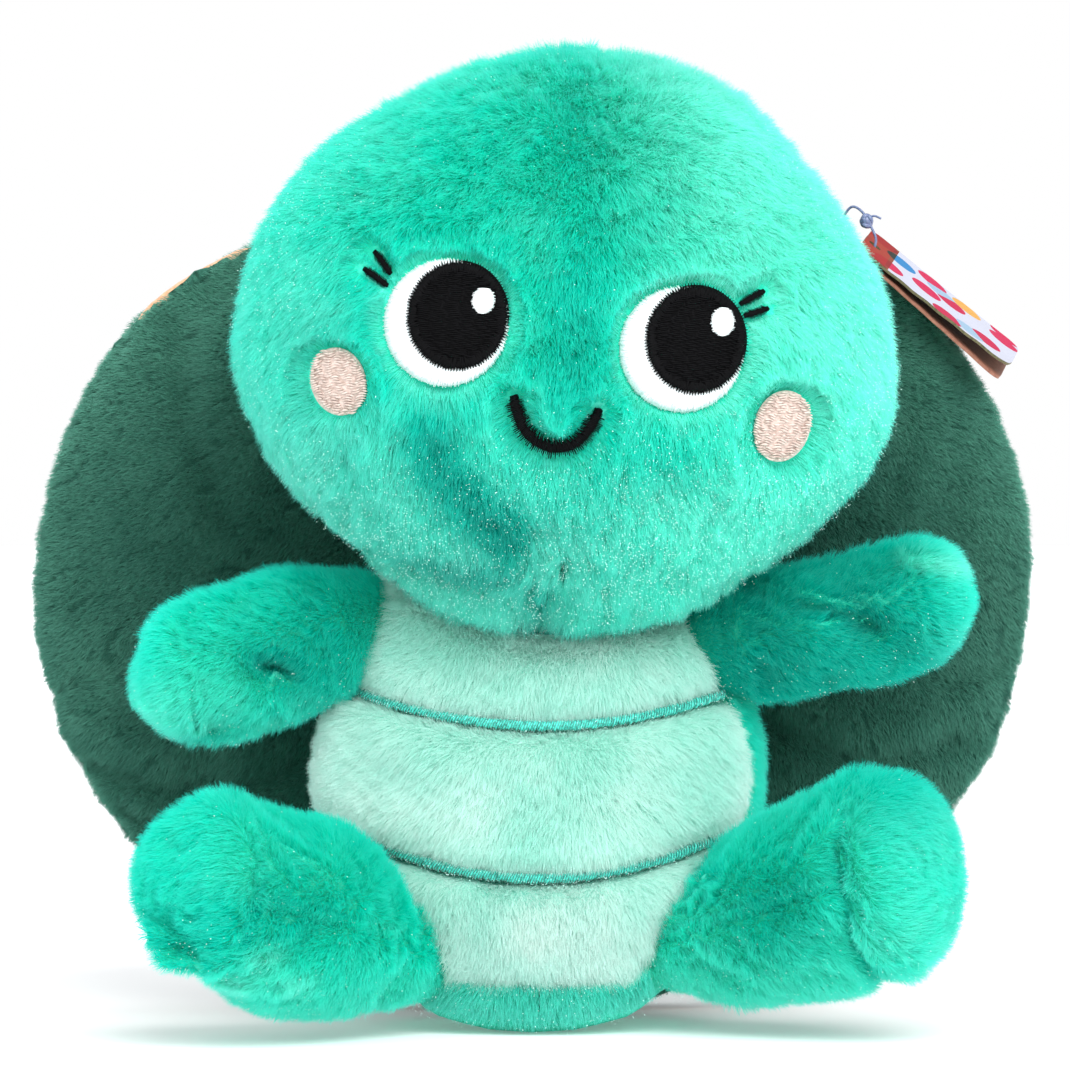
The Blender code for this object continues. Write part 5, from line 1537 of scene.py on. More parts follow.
# ------------------------------------------------------------------------- shell
SN = ((520, 300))
su, shell_t = ball_grid(*SN)
shell_t = shell_t[:, ::-1]                       # the sphere's z is the shell's depth, which turns it inside out
shell_s = shell_form(su)
c0, ct = ball_grid(110, 64)
cs = shell_form(c0)
spin = np.clip(np.exp(-((cs[:, 1] - SHELL_SEAM) / 3.0) ** 2) + step(4.0, -2.0, body_out(cs)), 0, 1)
smove = stuffed("shell", cs, ct[:, ::-1], spin, pressure=3.5, slack=0.045, cap=6.0, stiff=9.0)


def cleft(p):
    """1 in the short partings of the shell's pile, which lie flat at the top and steeper lower down, else 0."""
    turn = np.radians(20 + 36 * step(170, 90, p[:, 2]) + 14 * noise(p, 30.0, 91))
    c, s = np.cos(turn), np.sin(turn)
    along, across = p[:, 0] * c + p[:, 2] * s, -p[:, 0] * s + p[:, 2] * c
    q = np.stack([along * 0.34, p[:, 1] * 0.5, across], 1)
    return step(0.34, 0.72, noise(q, 1.2, 90))


def crease(p, path, width, depth):
    """A fold along a path in the picture plane, on the front of the shell."""
    d = path_distance(p[:, [0, 2]], path)
    return depth * np.exp(-(d / width) ** 2) * (p[:, 1] < SHELL_SEAM)


def shell_flat(p):
    """The rim is drawn in at the upper left, beside the head."""
    dx, dz = p[:, 0] - SHELL_C[0], p[:, 2] - SHELL_C[2]
    ang = np.degrees(np.arctan2(dz, dx))
    rho = np.hypot(dx / SHELL_A, dz / np.where(dz > 0, SHELL_BU, SHELL_BL))
    w = 6.0 * np.exp(-((ang - 128) / 12) ** 2) * step(0.6, 0.98, rho)
    return p - unit(np.stack([dx, np.zeros(len(p)), dz], 1)) * w[:, None]


def shell_relief(p):
    y = p[:, 1] - SHELL_SEAM
    d = -2.2 * np.exp(-(y / 3.2) ** 2)
    ang = np.arctan2(p[:, 2] - SHELL_C[2], p[:, 0] - SHELL_C[0])
    rim = np.exp(-(np.abs(y) / 12.0))
    # puckers run in from the piping
    w = np.stack([np.cos(ang) * 40, np.sin(ang) * 40, np.sign(y) * 30], 1)
    d += rim * 0.15 * noise(w, 8.0, 81) * step(0, 6, np.abs(y))
    d += 1.8 * noise(p, 46.0, 82) + 0.35 * noise(p, 24.0, 83) * step(2, 16, np.abs(y))
    d += crease(p, [(-112, 66), (-92, 60), (-70, 62), (-52, 70)], 3.6, -2.4)
    d += crease(p, [(-120, 84), (-100, 92), (-86, 104)], 4.0, -1.6)
    d += crease(p, [(-104, 54), (-88, 48), (-72, 46)], 3.0, -1.8)
    d += crease(p, [(104, 72), (84, 66), (60, 76), (48, 84)], 3.6, -2.4)
    d += crease(p, [(110, 58), (92, 52), (72, 52)], 3.2, -1.8)
    d += crease(p, [(118, 92), (104, 88), (92, 92)], 3.4, -1.4)
    d += crease(p, [(-110, 75), (-90, 70), (-66, 76)], 5.0, 1.6) + crease(p, [(106, 80), (86, 74), (66, 84)], 5.0, 1.4)
    d += crease(p, [(-88, 178), (-84, 150), (-76, 128)], 5.0, -1.4) + crease(p, [(88, 176), (92, 150), (88, 132)], 5.0, -1.2)
    d -= 0.12 * cleft(p) * (p[:, 1] < SHELL_SEAM)
    # the hanging tag presses a shallow hollow beside the head
    d -= 1.8 * np.exp(-((p[:, 0] - 103) / 20) ** 2 - ((p[:, 2] - 184) / 18) ** 2) * step(SHELL_SEAM, SHELL_SEAM - 7, p[:, 1])
    return d


shell_v = shell_s + upsample(smove, 110, 64, *SN)
shell_n = normals_of(shell_v, shell_t)
shell_v = shell_flat(shell_v + shell_n * shell_relief(shell_s)[:, None])
fill_piece("shell_stuffing", shell_flat(shell_form(ball_grid(110, 70)[0], -4.9)), ball_grid(110, 70)[1][:, ::-1], ("body",))
SHELL_PANELS = {}
for name, field in (("shell_front_panel", SHELL_SEAM - 1.75 - shell_s[:, 1]), ("shell_back_panel", shell_s[:, 1] - SHELL_SEAM - 1.75)):
    v1, t1, _, s1 = clip(shell_v, shell_t, field, shell_s)
    if name == "shell_front_panel":
        v1, t1, _, s1 = clip(v1, t1, body_out(v1) - 2.2, s1)
    ob = panel(name, v1, t1, 1.5, GREEN, "green_pile")
    SHELL_PANELS[name] = (ob, v1, t1)

GREEN_DEEP, GREEN_PALE = np.array(lin(34, 106, 91)[:3]), np.array(lin(118, 186, 165)[:3])


def shell_tint(p, nn, rng):
    parting_shade = cleft(p) * (p[:, 1] < SHELL_SEAM + 8)
    f = 0.40 + 0.14 * noise(p, 22.0, 84) + 0.08 * noise(p, 5.0, 85) + rng.normal(0, 0.06, len(p))
    rho = np.hypot((p[:, 0] - SHELL_C[0]) / SHELL_A, (p[:, 2] - SHELL_C[2]) / SHELL_BU)
    # painted light and shade: paler at the outer rim and higher up, darker low down and in the pile's partings
    f += 0.24 * step(0.72, 1.0, rho) * (p[:, 2] > 40) + 0.14 * step(110, 170, p[:, 2]) - 0.12 * step(70, 20, p[:, 2]) - 0.22 * parting_shade
    # painted light beside the tag, where the tag shades the shell
    f += 0.35 * np.exp(-((p[:, 0] - 95) / 16) ** 2 - ((p[:, 2] - 184) / 16) ** 2)
    f = np.clip(f, 0, 1)[:, None]
    # little light reaches the shell close beside the body
    near = np.exp(-np.maximum(body_out(p), 0) / 11.0) * step(124, 112, p[:, 2]) * (p[:, 1] < SHELL_SEAM)
    shade = np.clip((1 - 0.16 * parting_shade) * (1 - 0.42 * near) * (1 + rng.normal(0, 0.04, len(p))), 0.35, 1.25)
    return (GREEN_DEEP * (1 - f) + GREEN_PALE * f) * shade[:, None]


def shell_length(p, nn):
    return (2.7 + 0.2 * noise(p, 6.0, 88)) * (1 - 0.25 * cleft(p) * (p[:, 1] < SHELL_SEAM)) + 0.3 * rim_cover(p)


def rim_cover(p):
    """1 at the seam where the pile hides the piping, 0 in the field and where the piping shows."""
    ang = np.degrees(np.arctan2(p[:, 2] - SHELL_C[2], p[:, 0] - SHELL_C[0]))
    return np.exp(-(np.abs(p[:, 1] - SHELL_SEAM) / 4.5) ** 2) * (1 - bare_rim(ang))


def bare_rim(ang):
    """1 on the stretch of rim, beside the head, where the piping shows."""
    return step(124, 129, ang) * step(147, 141, ang)


def shell_nap(p, nn):
    d = np.stack([p[:, 0] - SHELL_C[0], np.zeros(len(p)), p[:, 2] - SHELL_C[2] - 60], 1)
    out = unit(np.stack([p[:, 0] - SHELL_C[0], np.zeros(len(p)), p[:, 2] - SHELL_C[2]], 1))
    over = np.stack([np.zeros(len(p)), np.sign(SHELL_SEAM - p[:, 1]), np.zeros(len(p))], 1)
    return (unit(d) * 0.8 + np.array((-0.25, 0, -0.35)) + noise3(p, 18.0, 86) * 0.28 + noise3(p, 4.0, 87) * 0.10
            + (out * 1.2 + over * 1.6) * rim_cover(p)[:, None])


def shell_keep(p, nn):
    """No pile over the bare piping, nor under the sewn-in label."""
    ang = np.degrees(np.arctan2(p[:, 2] - SHELL_C[2], p[:, 0] - SHELL_C[0]))
    rim = (bare_rim(ang) > 0.5) & (np.abs(p[:, 1] - SHELL_SEAM) < 7.0)
    label = (p[:, 1] > SHELL_SEAM) & (np.abs(p[:, 0] - 34) < 7.5) & (np.abs(p[:, 2] - 18.5) < 9.5)
    return ~rim & ~label


for name, dens in (("shell_front_panel", 9.6), ("shell_back_panel", 6.4)):
    ob, v1, t1 = SHELL_PANELS[name]
    _, count = grow(name + "_pile", ob, v1, t1, dens, FUR_GREEN, shell_tint,
                    shell_length, shell_nap, lambda p, nn: 0.5 + 0.1 * noise(p, 7.0, 89), 301 + len(name), clump=0.10,
                    clump_mm=1.2, wild=0.16, width=0.058, points=3, drift=0.12, curl=0.10, keep=shell_keep)
    STRANDS[0] += count

# piping: a cord wrapped in thread, round the seam
heap = Heap()
K = 720
a = 2 * np.pi * np.arange(K) / K
ring_b = np.where(np.sin(a) > 0, SHELL_BU, SHELL_BL)
proud = -0.8 + 2.7 * bare_rim(np.degrees(np.where(a > np.pi, a - 2 * np.pi, a)))
ring = np.stack([SHELL_C[0] + (SHELL_A + proud) * np.cos(a), np.full(K, SHELL_SEAM), SHELL_C[2] + (ring_b + proud) * np.sin(a)], 1)
ring = shell_flat(ring)
out_dir = unit(ring - SHELL_C * np.array((1, 0, 1)) - np.array((0, SHELL_SEAM, 0)))
sides = 14
sa = 2 * np.pi * np.arange(sides) / sides
rr = PIPING_R * (1 + 0.05 * np.sin(a[:, None] * 180 + sa[None] * 3))
pv = ring[:, None] + rr[:, :, None] * (out_dir[:, None] * np.cos(sa)[None, :, None] + np.array((0, 1.0, 0)) * np.sin(sa)[None, :, None])
i, j = np.meshgrid(np.arange(K), np.arange(sides), indexing="ij")
p0, p1 = i * sides + j, i * sides + (j + 1) % sides
q0, q1 = ((i + 1) % K) * sides + j, ((i + 1) % K) * sides + (j + 1) % sides
pt = np.concatenate([np.stack([p0, p1, q1], -1).reshape(-1, 3), np.stack([p0, q1, q0], -1).reshape(-1, 3)])
piece("shell_piping", pv.reshape(-1, 3), pt, PEACH, "peach_piping")

# ------------------------------------------------------------------------- limbs
LIMB_LOOK = {
    "arm_left": dict(dens=12.0, seed=401),
    "arm_right": dict(dens=12.0, seed=411),
    "leg_left": dict(dens=11.5, seed=421),
    "leg_right": dict(dens=11.5, seed=431),
}


# where the seam of the right foot's sole shows from the front, as x and z
SOLE_SEAM = [(73.0, 50.0), (72.5, 46.0), (74.8, 34.5), (77.5, 23.8), (83.3, 17.3), (90.0, 14.5)]


def drawn_in(key, p):
    """0 in a deep hollow or a seam of a limb, or at the worn heel, where the pile is short, rising to 1 in the open."""
    q = p
    if key == "arm_left":
        w = 0.75 * patch(q, -63.5, 90.6, 6.5, 4.0, -14)
    elif key == "arm_right":
        w = 0.65 * patch(q, 81, 102, 6.5, 5.0, -30) + 0.5 * patch(q, 71, 104.6, 7, 1.8)
    elif key == "leg_right":
        w = 0.6 * np.exp(-(path_distance(p[:, [0, 2]], SOLE_SEAM) / 2.0) ** 2) * (p[:, 1] < 0)
    else:
        w = 0.6 * np.exp(-((p[:, 0] + 88) / 10) ** 2 - ((p[:, 2] - 16) / 9) ** 2)
    return 1 - np.minimum(w, 0.8)


def limb_dents(key, p):
    """Hollows, folds and fuller places of each stuffed limb, set by their x and z as seen from the front."""
    front = p[:, 1] < LIMB[key].c[:, 1].mean() + 6

    def pit(x, z, rx, rz, depth, lean=0.0, where=front):
        c, s = math.cos(math.radians(lean)), math.sin(math.radians(lean))
        dx, dz = p[:, 0] - x, p[:, 2] - z
        a1, b1 = dx * c + dz * s, -dx * s + dz * c
        return depth * np.exp(-(a1 / rx) ** 2 - (b1 / rz) ** 2) * where

    def swell(x, z, rx, rz, depth, lean=0.0):
        return pit(x, z, rx, rz, depth, lean, 1.0)
    if key == "arm_left":
        d = pit(-63.5, 90.6, 6.5, 3.8, -7.0, -14) + pit(-83, 75.4, 8, 1.8, -2.2, 14) + pit(-74, 92, 9, 7, 1.2)
        d += swell(-90, 107, 13, 8, 2.0, 35) + swell(-101, 101, 7.5, 8, -6.5) + swell(-100, 84, 7, 6, 1.4)
        d += swell(-98, 73, 12, 9, -4.8, -45) + swell(-52, 77, 12, 8, -3.8, 30) + swell(-104, 88, 8, 11, -3.0)
    elif key == "arm_right":
        d = pit(71, 104.6, 6, 1.4, -2.2, 0) + pit(81, 102.0, 6, 4.6, -4.8, -30) + pit(98, 116.6, 9, 2.6, 1.6, -5)
        d += swell(84, 123, 13, 8, 1.6) + swell(94, 88.5, 11, 8, 3.2) + swell(110.5, 98, 9, 9, -3.4) + swell(108, 119, 9, 8, -0.8)
    elif key == "leg_left":
        d = pit(-60, 52, 5, 14, -0.8, 30) + pit(-68, 30, 7, 9, -1.0) + pit(-100, 46, 12, 20, 2.0)
        d += swell(-90, 15, 15, 12, -11.5, 45) + swell(-100, 50, 10, 14, 3.4) + swell(-84, 64, 13, 7, 2.8) + swell(-55, 58, 10, 6, -2.0)
        d += swell(-90, 17, 7.5, 6.5, -5.0) + swell(-29, 43, 15, 8, -6.3, -50) + swell(-22, 29, 8, 9, -2.6)
    else:
        d = pit(60, 40, 5, 14, -0.6, -20) + pit(70, 11, 24, 8, 2.0, 8) + pit(50, 8, 14, 7, 2.6)
        d += swell(105, 52, 12, 14, 2.8) + swell(98, 63, 10, 9, 4.8) + swell(35, 42, 9, 11, -4.0)
        d -= 1.7 * np.exp(-(path_distance(p[:, [0, 2]], SOLE_SEAM) / 1.7) ** 2) * front
    return d


LIMB_SKINS = {}
for key, limb in LIMB.items():
    arm = key.startswith("arm")
    nu, rings = ((220, 240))
    back, front = rings * 3 // 10, rings * 3 // 10
    base, lt = limb.form(nu, rings, back, front)
    if np.einsum("ij,ij->i", normals_of(base, lt), base - base.mean(0)).mean() < 0:
        lt = lt[:, ::-1]
    cb, cbt = limb.form(44, 40, 12, 12)
    if np.einsum("ij,ij->i", normals_of(cb, cbt), cb - cb.mean(0)).mean() < 0:
        cbt = cbt[:, ::-1]
    normal = limb.out if arm else limb.up

    def seam_at(p, normal=normal, limb=limb):
        return (p - limb.pivot) @ normal

    def sole_at(p, limb=limb):
        return (p - limb.end) @ limb.along - 2.5
    lp = np.exp(-(seam_at(cb) / 2.5) ** 2) + (np.linalg.norm(cb - limb.pivot, axis=1) < limb.s["r0"] + 3) * 1.0
    if not arm:
        lp += np.exp(-(sole_at(cb) / 2.5) ** 2)
    lm = stuffed(key, cb, cbt, np.clip(lp, 0, 1), pressure=3.0, slack=0.03, cap=1.8)
    lv = base + upsample(lm, 44, 40, nu, rings) * 0.8
    relief = -1.3 * np.exp(-(seam_at(base) / 1.8) ** 2) * (1 if arm else (sole_at(base) < 1))
    if not arm:
        relief = relief - 1.7 * np.exp(-(sole_at(base) / 1.9) ** 2) + 1.3 * step(2, 9, sole_at(base))
    relief = relief + limb_dents(key, base) + 0.6 * noise(base, 16.0, 92) + 0.2 * noise(base, 7.0, 93) + locks(base, 0.12, 3.0, 65)
    free = step(limb.s["r0"] * 0.6, limb.s["r0"] * 1.6, np.linalg.norm(base - limb.pivot, axis=1))
    lv = lv + normals_of(lv, lt) * (relief * free)[:, None]
    lv[:, 2] = np.maximum(lv[:, 2], 0.3)
    names = (key + "_front", key + "_back") if arm else (key + "_upper", key + "_under", key + "_sole")
    sm, so = seam_at(base), sole_at(base)
    bore = np.linalg.norm(np.cross(base - limb.pivot, limb.d[0]), axis=1) - 5.0
    bore = np.where((base - limb.pivot) @ limb.d[0] < 0, bore, 20.0)
    for name, field in zip(names, (sm - 0.15, -sm - 0.15, so)):
        if not arm and not name.endswith("sole"):
            field = np.minimum(field, -so - 0.3)
        v1, t1, _, b1 = clip(lv, lt, field, bore)
        if b1.min() < 0:
            v1, t1, _ = clip(v1, t1, b1)
        ob = panel(name, v1, t1, 1.3, TURQ, "turquoise_pile")
        LIMB_SKINS[name] = (ob, v1, t1, key)
    fu, ft = limb.form(48, 44, 13, 13, -3.4)
    if np.einsum("ij,ij->i", normals_of(fu, ft), fu - fu.mean(0)).mean() < 0:
        ft = ft[:, ::-1]
    sunk = np.minimum(limb_dents(key, fu), 0) * step(limb.s["r0"] * 0.6, limb.s["r0"] * 1.6, np.linalg.norm(fu - limb.pivot, axis=1))
    fu = fu + normals_of(fu, ft) * sunk[:, None]
    fill_piece(key + "_stuffing", fu, ft, ((limb.pivot, 7.4),))


def limb_tint(key):
    def tint(p, nn, rng):
        q = p
        f = 0.07 + 0.10 * noise(p, 14.0, 94) + 0.06 * noise(p, 4.0, 95) + rng.normal(0, 0.04, len(p))
        # painted light: the lower parts and undersides are paler, as if lit from the floor
        f += 0.26 * step(24, 4, p[:, 2]) + 0.20 * np.maximum(0, -nn[:, 2])
        # deep is painted shade in each limb's hollows, folds and seams, and on the right arm towards the body
        if key == "arm_left":
            deep = 1.35 * patch(q, -64, 92.4, 6.5, 4.0, -14) + 0.5 * patch(q, -52, 94, 13, 16) + 0.4 * patch(q, -83, 75.4, 9, 2.4, 14)
            f += 0.30 * patch(q, -80, 86, 13, 8) + 0.40 * step(-95, -106, p[:, 0]) + 0.25 * patch(q, -92, 80, 9, 8)
        elif key == "arm_right":
            deep = 0.62 + 0.9 * patch(q, 80, 103.5, 7, 5.5, -30) + 0.5 * patch(q, 70, 105.6, 8, 2.2) + 0.4 * patch(q, 56, 96, 10, 14)
            deep -= 0.55 * step(88, 106, p[:, 0] + 0.4 * (p[:, 2] - 108))
            # painted highlight on the ridge of the right arm
            f += 0.8 * patch(q, 98, 116, 9, 2.6, -5) + 0.25 * patch(q, 104, 96, 9, 7)
        elif key == "leg_right":
            seam_x = np.interp(p[:, 2], [14.5, 17.3, 23.8, 34.5, 46.0], [90.0, 83.3, 77.5, 74.8, 72.5])
            sole = step(-1.0, 5.0, p[:, 0] - seam_x) * step(64, 50, p[:, 2]) * (p[:, 1] < 0)
            line = np.exp(-(path_distance(p[:, [0, 2]], SOLE_SEAM) / 1.6) ** 2) * (p[:, 1] < 0)
            deep = 0.35 * patch(q, 58, 34, 14, 12) + 0.7 * line + 0.3 * patch(q, 86, 60, 18, 12)
            f += 0.06 + 0.26 * sole * (0.6 + 0.4 * noise(p, 3.0, 100))
        else:
            deep = 0.35 * patch(q, -62, 34, 16, 7) + 0.3 * patch(q, -84, 26, 12, 8)
            f += 0.20 * patch(q, -68, 42, 9, 8) - 0.05
            f += 0.60 * patch(q, -63, 23.5, 4.5, 3.2) + 0.50 * patch(q, -56.5, 17.5, 4.5, 2.6) + 0.45 * patch(q, -71, 17, 7, 2.6)
        f = np.clip(f - 0.4 * deep, 0, 1)[:, None]
        # painted shade from deep
        shade = 1 - 0.30 * np.clip(deep, 0, 1.3) + 0.03 * noise(p, 3.0, 96) + rng.normal(0, 0.035, len(p))
        return (SAT * (1 - f) + FROST_AND_SHEEN * f) * np.clip(shade, 0.4, 1.2)[:, None]
    return tint


def limb_nap(limb):
    def nap(p, nn):
        return limb.along * 1.1 + np.array((0, 0, -0.35)) + noise3(p, 18.0, 97) * 0.16
    return nap


def limb_keep(limb):
    def keep(p, nn):
        return (body_out(p) > -1.5) & (p[:, 2] > 0.9)
    return keep


for name, (ob, v1, t1, key) in LIMB_SKINS.items():
    limb, look = LIMB[key], LIMB_LOOK[key]
    _, count = grow(name + "_pile", ob, v1, t1, look["dens"], FUR, limb_tint(key),
                    lambda p, nn, key=key: (5.4 * (1 + 0.06 * noise(p, 9.0, 98)) * (0.5 + 0.5 * step(0, 7, body_out(p)))
                                            * drawn_in(key, p)),
                    limb_nap(limb), lambda p, nn: 0.58 + 0.10 * noise(p, 10.0, 99), look["seed"] + len(name),
                    keep=limb_keep(limb), width=0.045, drift=0.12, curl=0.06, wild=0.13)
    STRANDS[0] += count
    if not name.endswith("back"):
        sparkle(name + "_tinsel", ob, v1, t1, 0.30, look["seed"] + 7, 3.8, limb_nap(limb),
                lambda p, nn, rng: rng.random(len(p)) < 0.08 + 0.92 * np.maximum(0, -nn[:, 2]) ** 1.5)

# -------------------------------------------------------------------- inner nodes
for name, mat in (("face_stabiliser", BACKING), ("neck_core", FILL), ("pellet_pouch", POUCH)):
    me = frame["nodes"][name].data
    me.materials.clear()
    me.materials.append(mat)
for key in LIMB:
    me = frame["nodes"][key + "_root"].data
    me.materials.clear()
    me.materials.append(TURQ)

# the sewn sleeve round the neck, gathered in small pleats
u1, t1 = ball_grid(96, 60)
r = 17.6 + 0.45 * np.sin(np.arctan2(u1[:, 1], u1[:, 0]) * 24) * (1 - np.abs(u1[:, 2]))
sv1 = NECK + u1 * r[:, None]
sv1, t1, _ = clip(sv1, t1, np.hypot(sv1[:, 0] - NECK[0], sv1[:, 1] - NECK[1]) - 8.2)
sv1, t1 = thicken(sv1, t1, normals_of(sv1, t1), 3.6)
piece("neck_sleeve", sv1, t1, TURQ, "turquoise_pile")

# ------------------------------------------------------------- label and hang tag


def shell_back_y(x, z, off):
    h = SHELL_BACK + off
    b = np.where(z > SHELL_C[2], SHELL_BU, SHELL_BL) + off
    rho = np.hypot((x - SHELL_C[0]) / (SHELL_A + off), (z - SHELL_C[2]) / b)
    return SHELL_C[1] + h * np.maximum(0.0, 1 - rho**SHELL_NB) ** (1 / SHELL_NB)


def grid_sheet(nx, ny):
    """Points in the unit square and its triangles, facing +z."""
    x, y = np.meshgrid(np.linspace(0, 1, nx), np.linspace(0, 1, ny), indexing="ij")
    i, j = np.meshgrid(np.arange(nx - 1), np.arange(ny - 1), indexing="ij")
    a = i * ny + j
    b, c, d = a + ny, a + ny + 1, a + 1
    t = np.concatenate([np.stack([a, b, c], -1).reshape(-1, 3), np.stack([a, c, d], -1).reshape(-1, 3)])
    return np.stack([x.ravel(), y.ravel(), np.zeros(nx * ny)], 1), t


g, t1 = grid_sheet(29, 37)
lx, lz = 34.0 + (g[:, 0] - 0.5) * 14.0, 18.5 + (g[:, 1] - 0.5) * 18.0
lift = 1.9 + 0.35 * np.sin(g[:, 1] * 7.0) + 0.25 * np.sin(g[:, 0] * 5.0 + 1.0)
behind = shell_v[shell_v[:, 1] > SHELL_SEAM + 6]
tree = KDTree(len(behind))
for k, co in enumerate(behind):
    tree.insert((co[0], 0.0, co[2]), k)
tree.balance()
sits = np.array([np.mean([behind[k, 1] for _, k, _ in tree.find_n((x, 0.0, z), 12)]) for x, z in zip(lx, lz)])
lv = np.stack([lx, np.maximum(sits + lift - 1.0, shell_back_y(lx, lz, lift)), lz], 1)
ln = normals_of(lv, t1)
if ln[:, 1].mean() < 0:
    t1 = t1[:, ::-1]
    ln = -ln
sv1, st1 = thicken(lv, t1, ln, 0.5)
label = piece("care_label", sv1, st1, RIBBON, "ribbon")


def card_material():
    """White card, printed on its outer side with plain drops and a band at the fold; its other faces are dark, with
    painted shadow.
    """
    mat, nt, bsdf, nodes, links = nodes_of("printed_card")
    co = nodes.new("ShaderNodeTexCoord")
    vor = nodes.new("ShaderNodeTexVoronoi")
    vor.voronoi_dimensions = "2D"
    vor.inputs["Scale"].default_value = 84.0
    vor.inputs["Randomness"].default_value = 0.8
    links.new(co.outputs["Object"], vor.inputs["Vector"])
    sep = nodes.new("ShaderNodeSeparateColor")
    links.new(vor.outputs["Color"], sep.inputs["Color"])
    tone = ramp(nodes, [(0.0, lin(176, 6, 62)), (0.24, lin(14, 104, 172)), (0.42, lin(204, 150, 70)), (0.58, lin(184, 12, 70)),
                        (0.74, lin(30, 116, 172)), (0.88, lin(140, 168, 190))])
    tone.color_ramp.interpolation = "CONSTANT"
    links.new(sep.outputs["Red"], tone.inputs["Fac"])
    spot = nodes.new("ShaderNodeMath")
    spot.operation = "LESS_THAN"
    spot.inputs[1].default_value = 0.40
    links.new(vor.outputs["Distance"], spot.inputs[0])
    m1 = nodes.new("ShaderNodeMix")
    m1.data_type = "RGBA"
    m1.inputs["A"].default_value = lin(184, 186, 200)
    links.new(spot.outputs["Value"], m1.inputs["Factor"])
    links.new(tone.outputs["Color"], m1.inputs["B"])
    xyz = nodes.new("ShaderNodeSeparateXYZ")
    links.new(co.outputs["Object"], xyz.inputs["Vector"])
    band = ramp(nodes, [(0.0, lin(205, 60, 30)), (0.34, lin(180, 84, 46)), (0.40, (1, 1, 1, 1))])
    band.color_ramp.interpolation = "CONSTANT"
    scale = nodes.new("ShaderNodeMapRange")
    scale.inputs["From Min"].default_value = -0.003
    scale.inputs["From Max"].default_value = 0.020
    links.new(xyz.outputs["X"], scale.inputs["Value"])
    links.new(scale.outputs["Result"], band.inputs["Fac"])
    m2 = nodes.new("ShaderNodeMix")
    m2.data_type = "RGBA"
    m2.blend_type = "MULTIPLY"
    m2.inputs["Factor"].default_value = 1.0
    links.new(m1.outputs["Result"], m2.inputs["A"])
    links.new(band.outputs["Color"], m2.inputs["B"])
    nrm = nodes.new("ShaderNodeSeparateXYZ")
    links.new(co.outputs["Normal"], nrm.inputs["Vector"])
    face = nodes.new("ShaderNodeMath")
    face.operation = "GREATER_THAN"
    face.inputs[1].default_value = 0.6
    links.new(nrm.outputs["Z"], face.inputs[0])
    fine = nodes.new("ShaderNodeTexNoise")
    fine.inputs["Scale"].default_value = 1400.0
    links.new(co.outputs["Object"], fine.inputs["Vector"])
    # painted shadow: the unprinted inner side and edges are dark
    shaded_unprinted_side = ramp(nodes, [(0.3, lin(86, 84, 62)), (0.7, lin(122, 112, 84))])
    links.new(fine.outputs["Fac"], shaded_unprinted_side.inputs["Fac"])
    m3 = nodes.new("ShaderNodeMix")
    m3.data_type = "RGBA"
    links.new(face.outputs["Value"], m3.inputs["Factor"])
    links.new(shaded_unprinted_side.outputs["Color"], m3.inputs["A"])
    links.new(m2.outputs["Result"], m3.inputs["B"])
    links.new(m3.outputs["Result"], bsdf.inputs["Base Color"])
    bump = nodes.new("ShaderNodeBump")
    bump.inputs["Strength"].default_value = 0.15
    bump.inputs["Distance"].default_value = 0.0001
    links.new(fine.outputs["Fac"], bump.inputs["Height"])
    links.new(bump.outputs["Normal"], bsdf.inputs["Normal"])
    bsdf.inputs["Roughness"].default_value = 0.55
    bsdf.inputs["Specular IOR Level"].default_value = 0.15
    return mat


def back_card_material():
    mat, nt, bsdf, nodes, links = nodes_of("inner_card_painted_shadow")
    co = nodes.new("ShaderNodeTexCoord")
    fine = nodes.new("ShaderNodeTexNoise")
    fine.inputs["Scale"].default_value = 900.0
    fine.inputs["Detail"].default_value = 4.0
    links.new(co.outputs["Object"], fine.inputs["Vector"])
    # painted shadow: the inner leaf's brown is darkened as if in the fold's shade
    col = ramp(nodes, [(0.3, lin(136, 84, 66)), (0.7, lin(166, 112, 92))])
    links.new(fine.outputs["Fac"], col.inputs["Fac"])
    links.new(col.outputs["Color"], bsdf.inputs["Base Color"])
    bump = nodes.new("ShaderNodeBump")
    bump.inputs["Strength"].default_value = 0.2
    bump.inputs["Distance"].default_value = 0.0001
    links.new(fine.outputs["Fac"], bump.inputs["Height"])
    links.new(bump.outputs["Normal"], bsdf.inputs["Normal"])
    bsdf.inputs["Roughness"].default_value = 0.55
    return mat


def nylon_material():
    mat, nt, bsdf, nodes, links = nodes_of("lilac_nylon")
    co = nodes.new("ShaderNodeTexCoord")
    fine = nodes.new("ShaderNodeTexNoise")
    fine.inputs["Scale"].default_value = 1200.0
    links.new(co.outputs["Object"], fine.inputs["Vector"])
    col = ramp(nodes, [(0.3, lin(104, 118, 160)), (0.7, lin(142, 154, 192))])
    links.new(fine.outputs["Fac"], col.inputs["Fac"])
    links.new(col.outputs["Color"], bsdf.inputs["Base Color"])
    bsdf.inputs["Roughness"].default_value = 0.3
    bsdf.inputs["Transmission Weight"].default_value = 0.25
    return mat


TAG_TURN = Matrix.Rotation(-TAG_DIR, 3, "Y") @ Matrix.Rotation(TAG_LEAN, 3, "X")


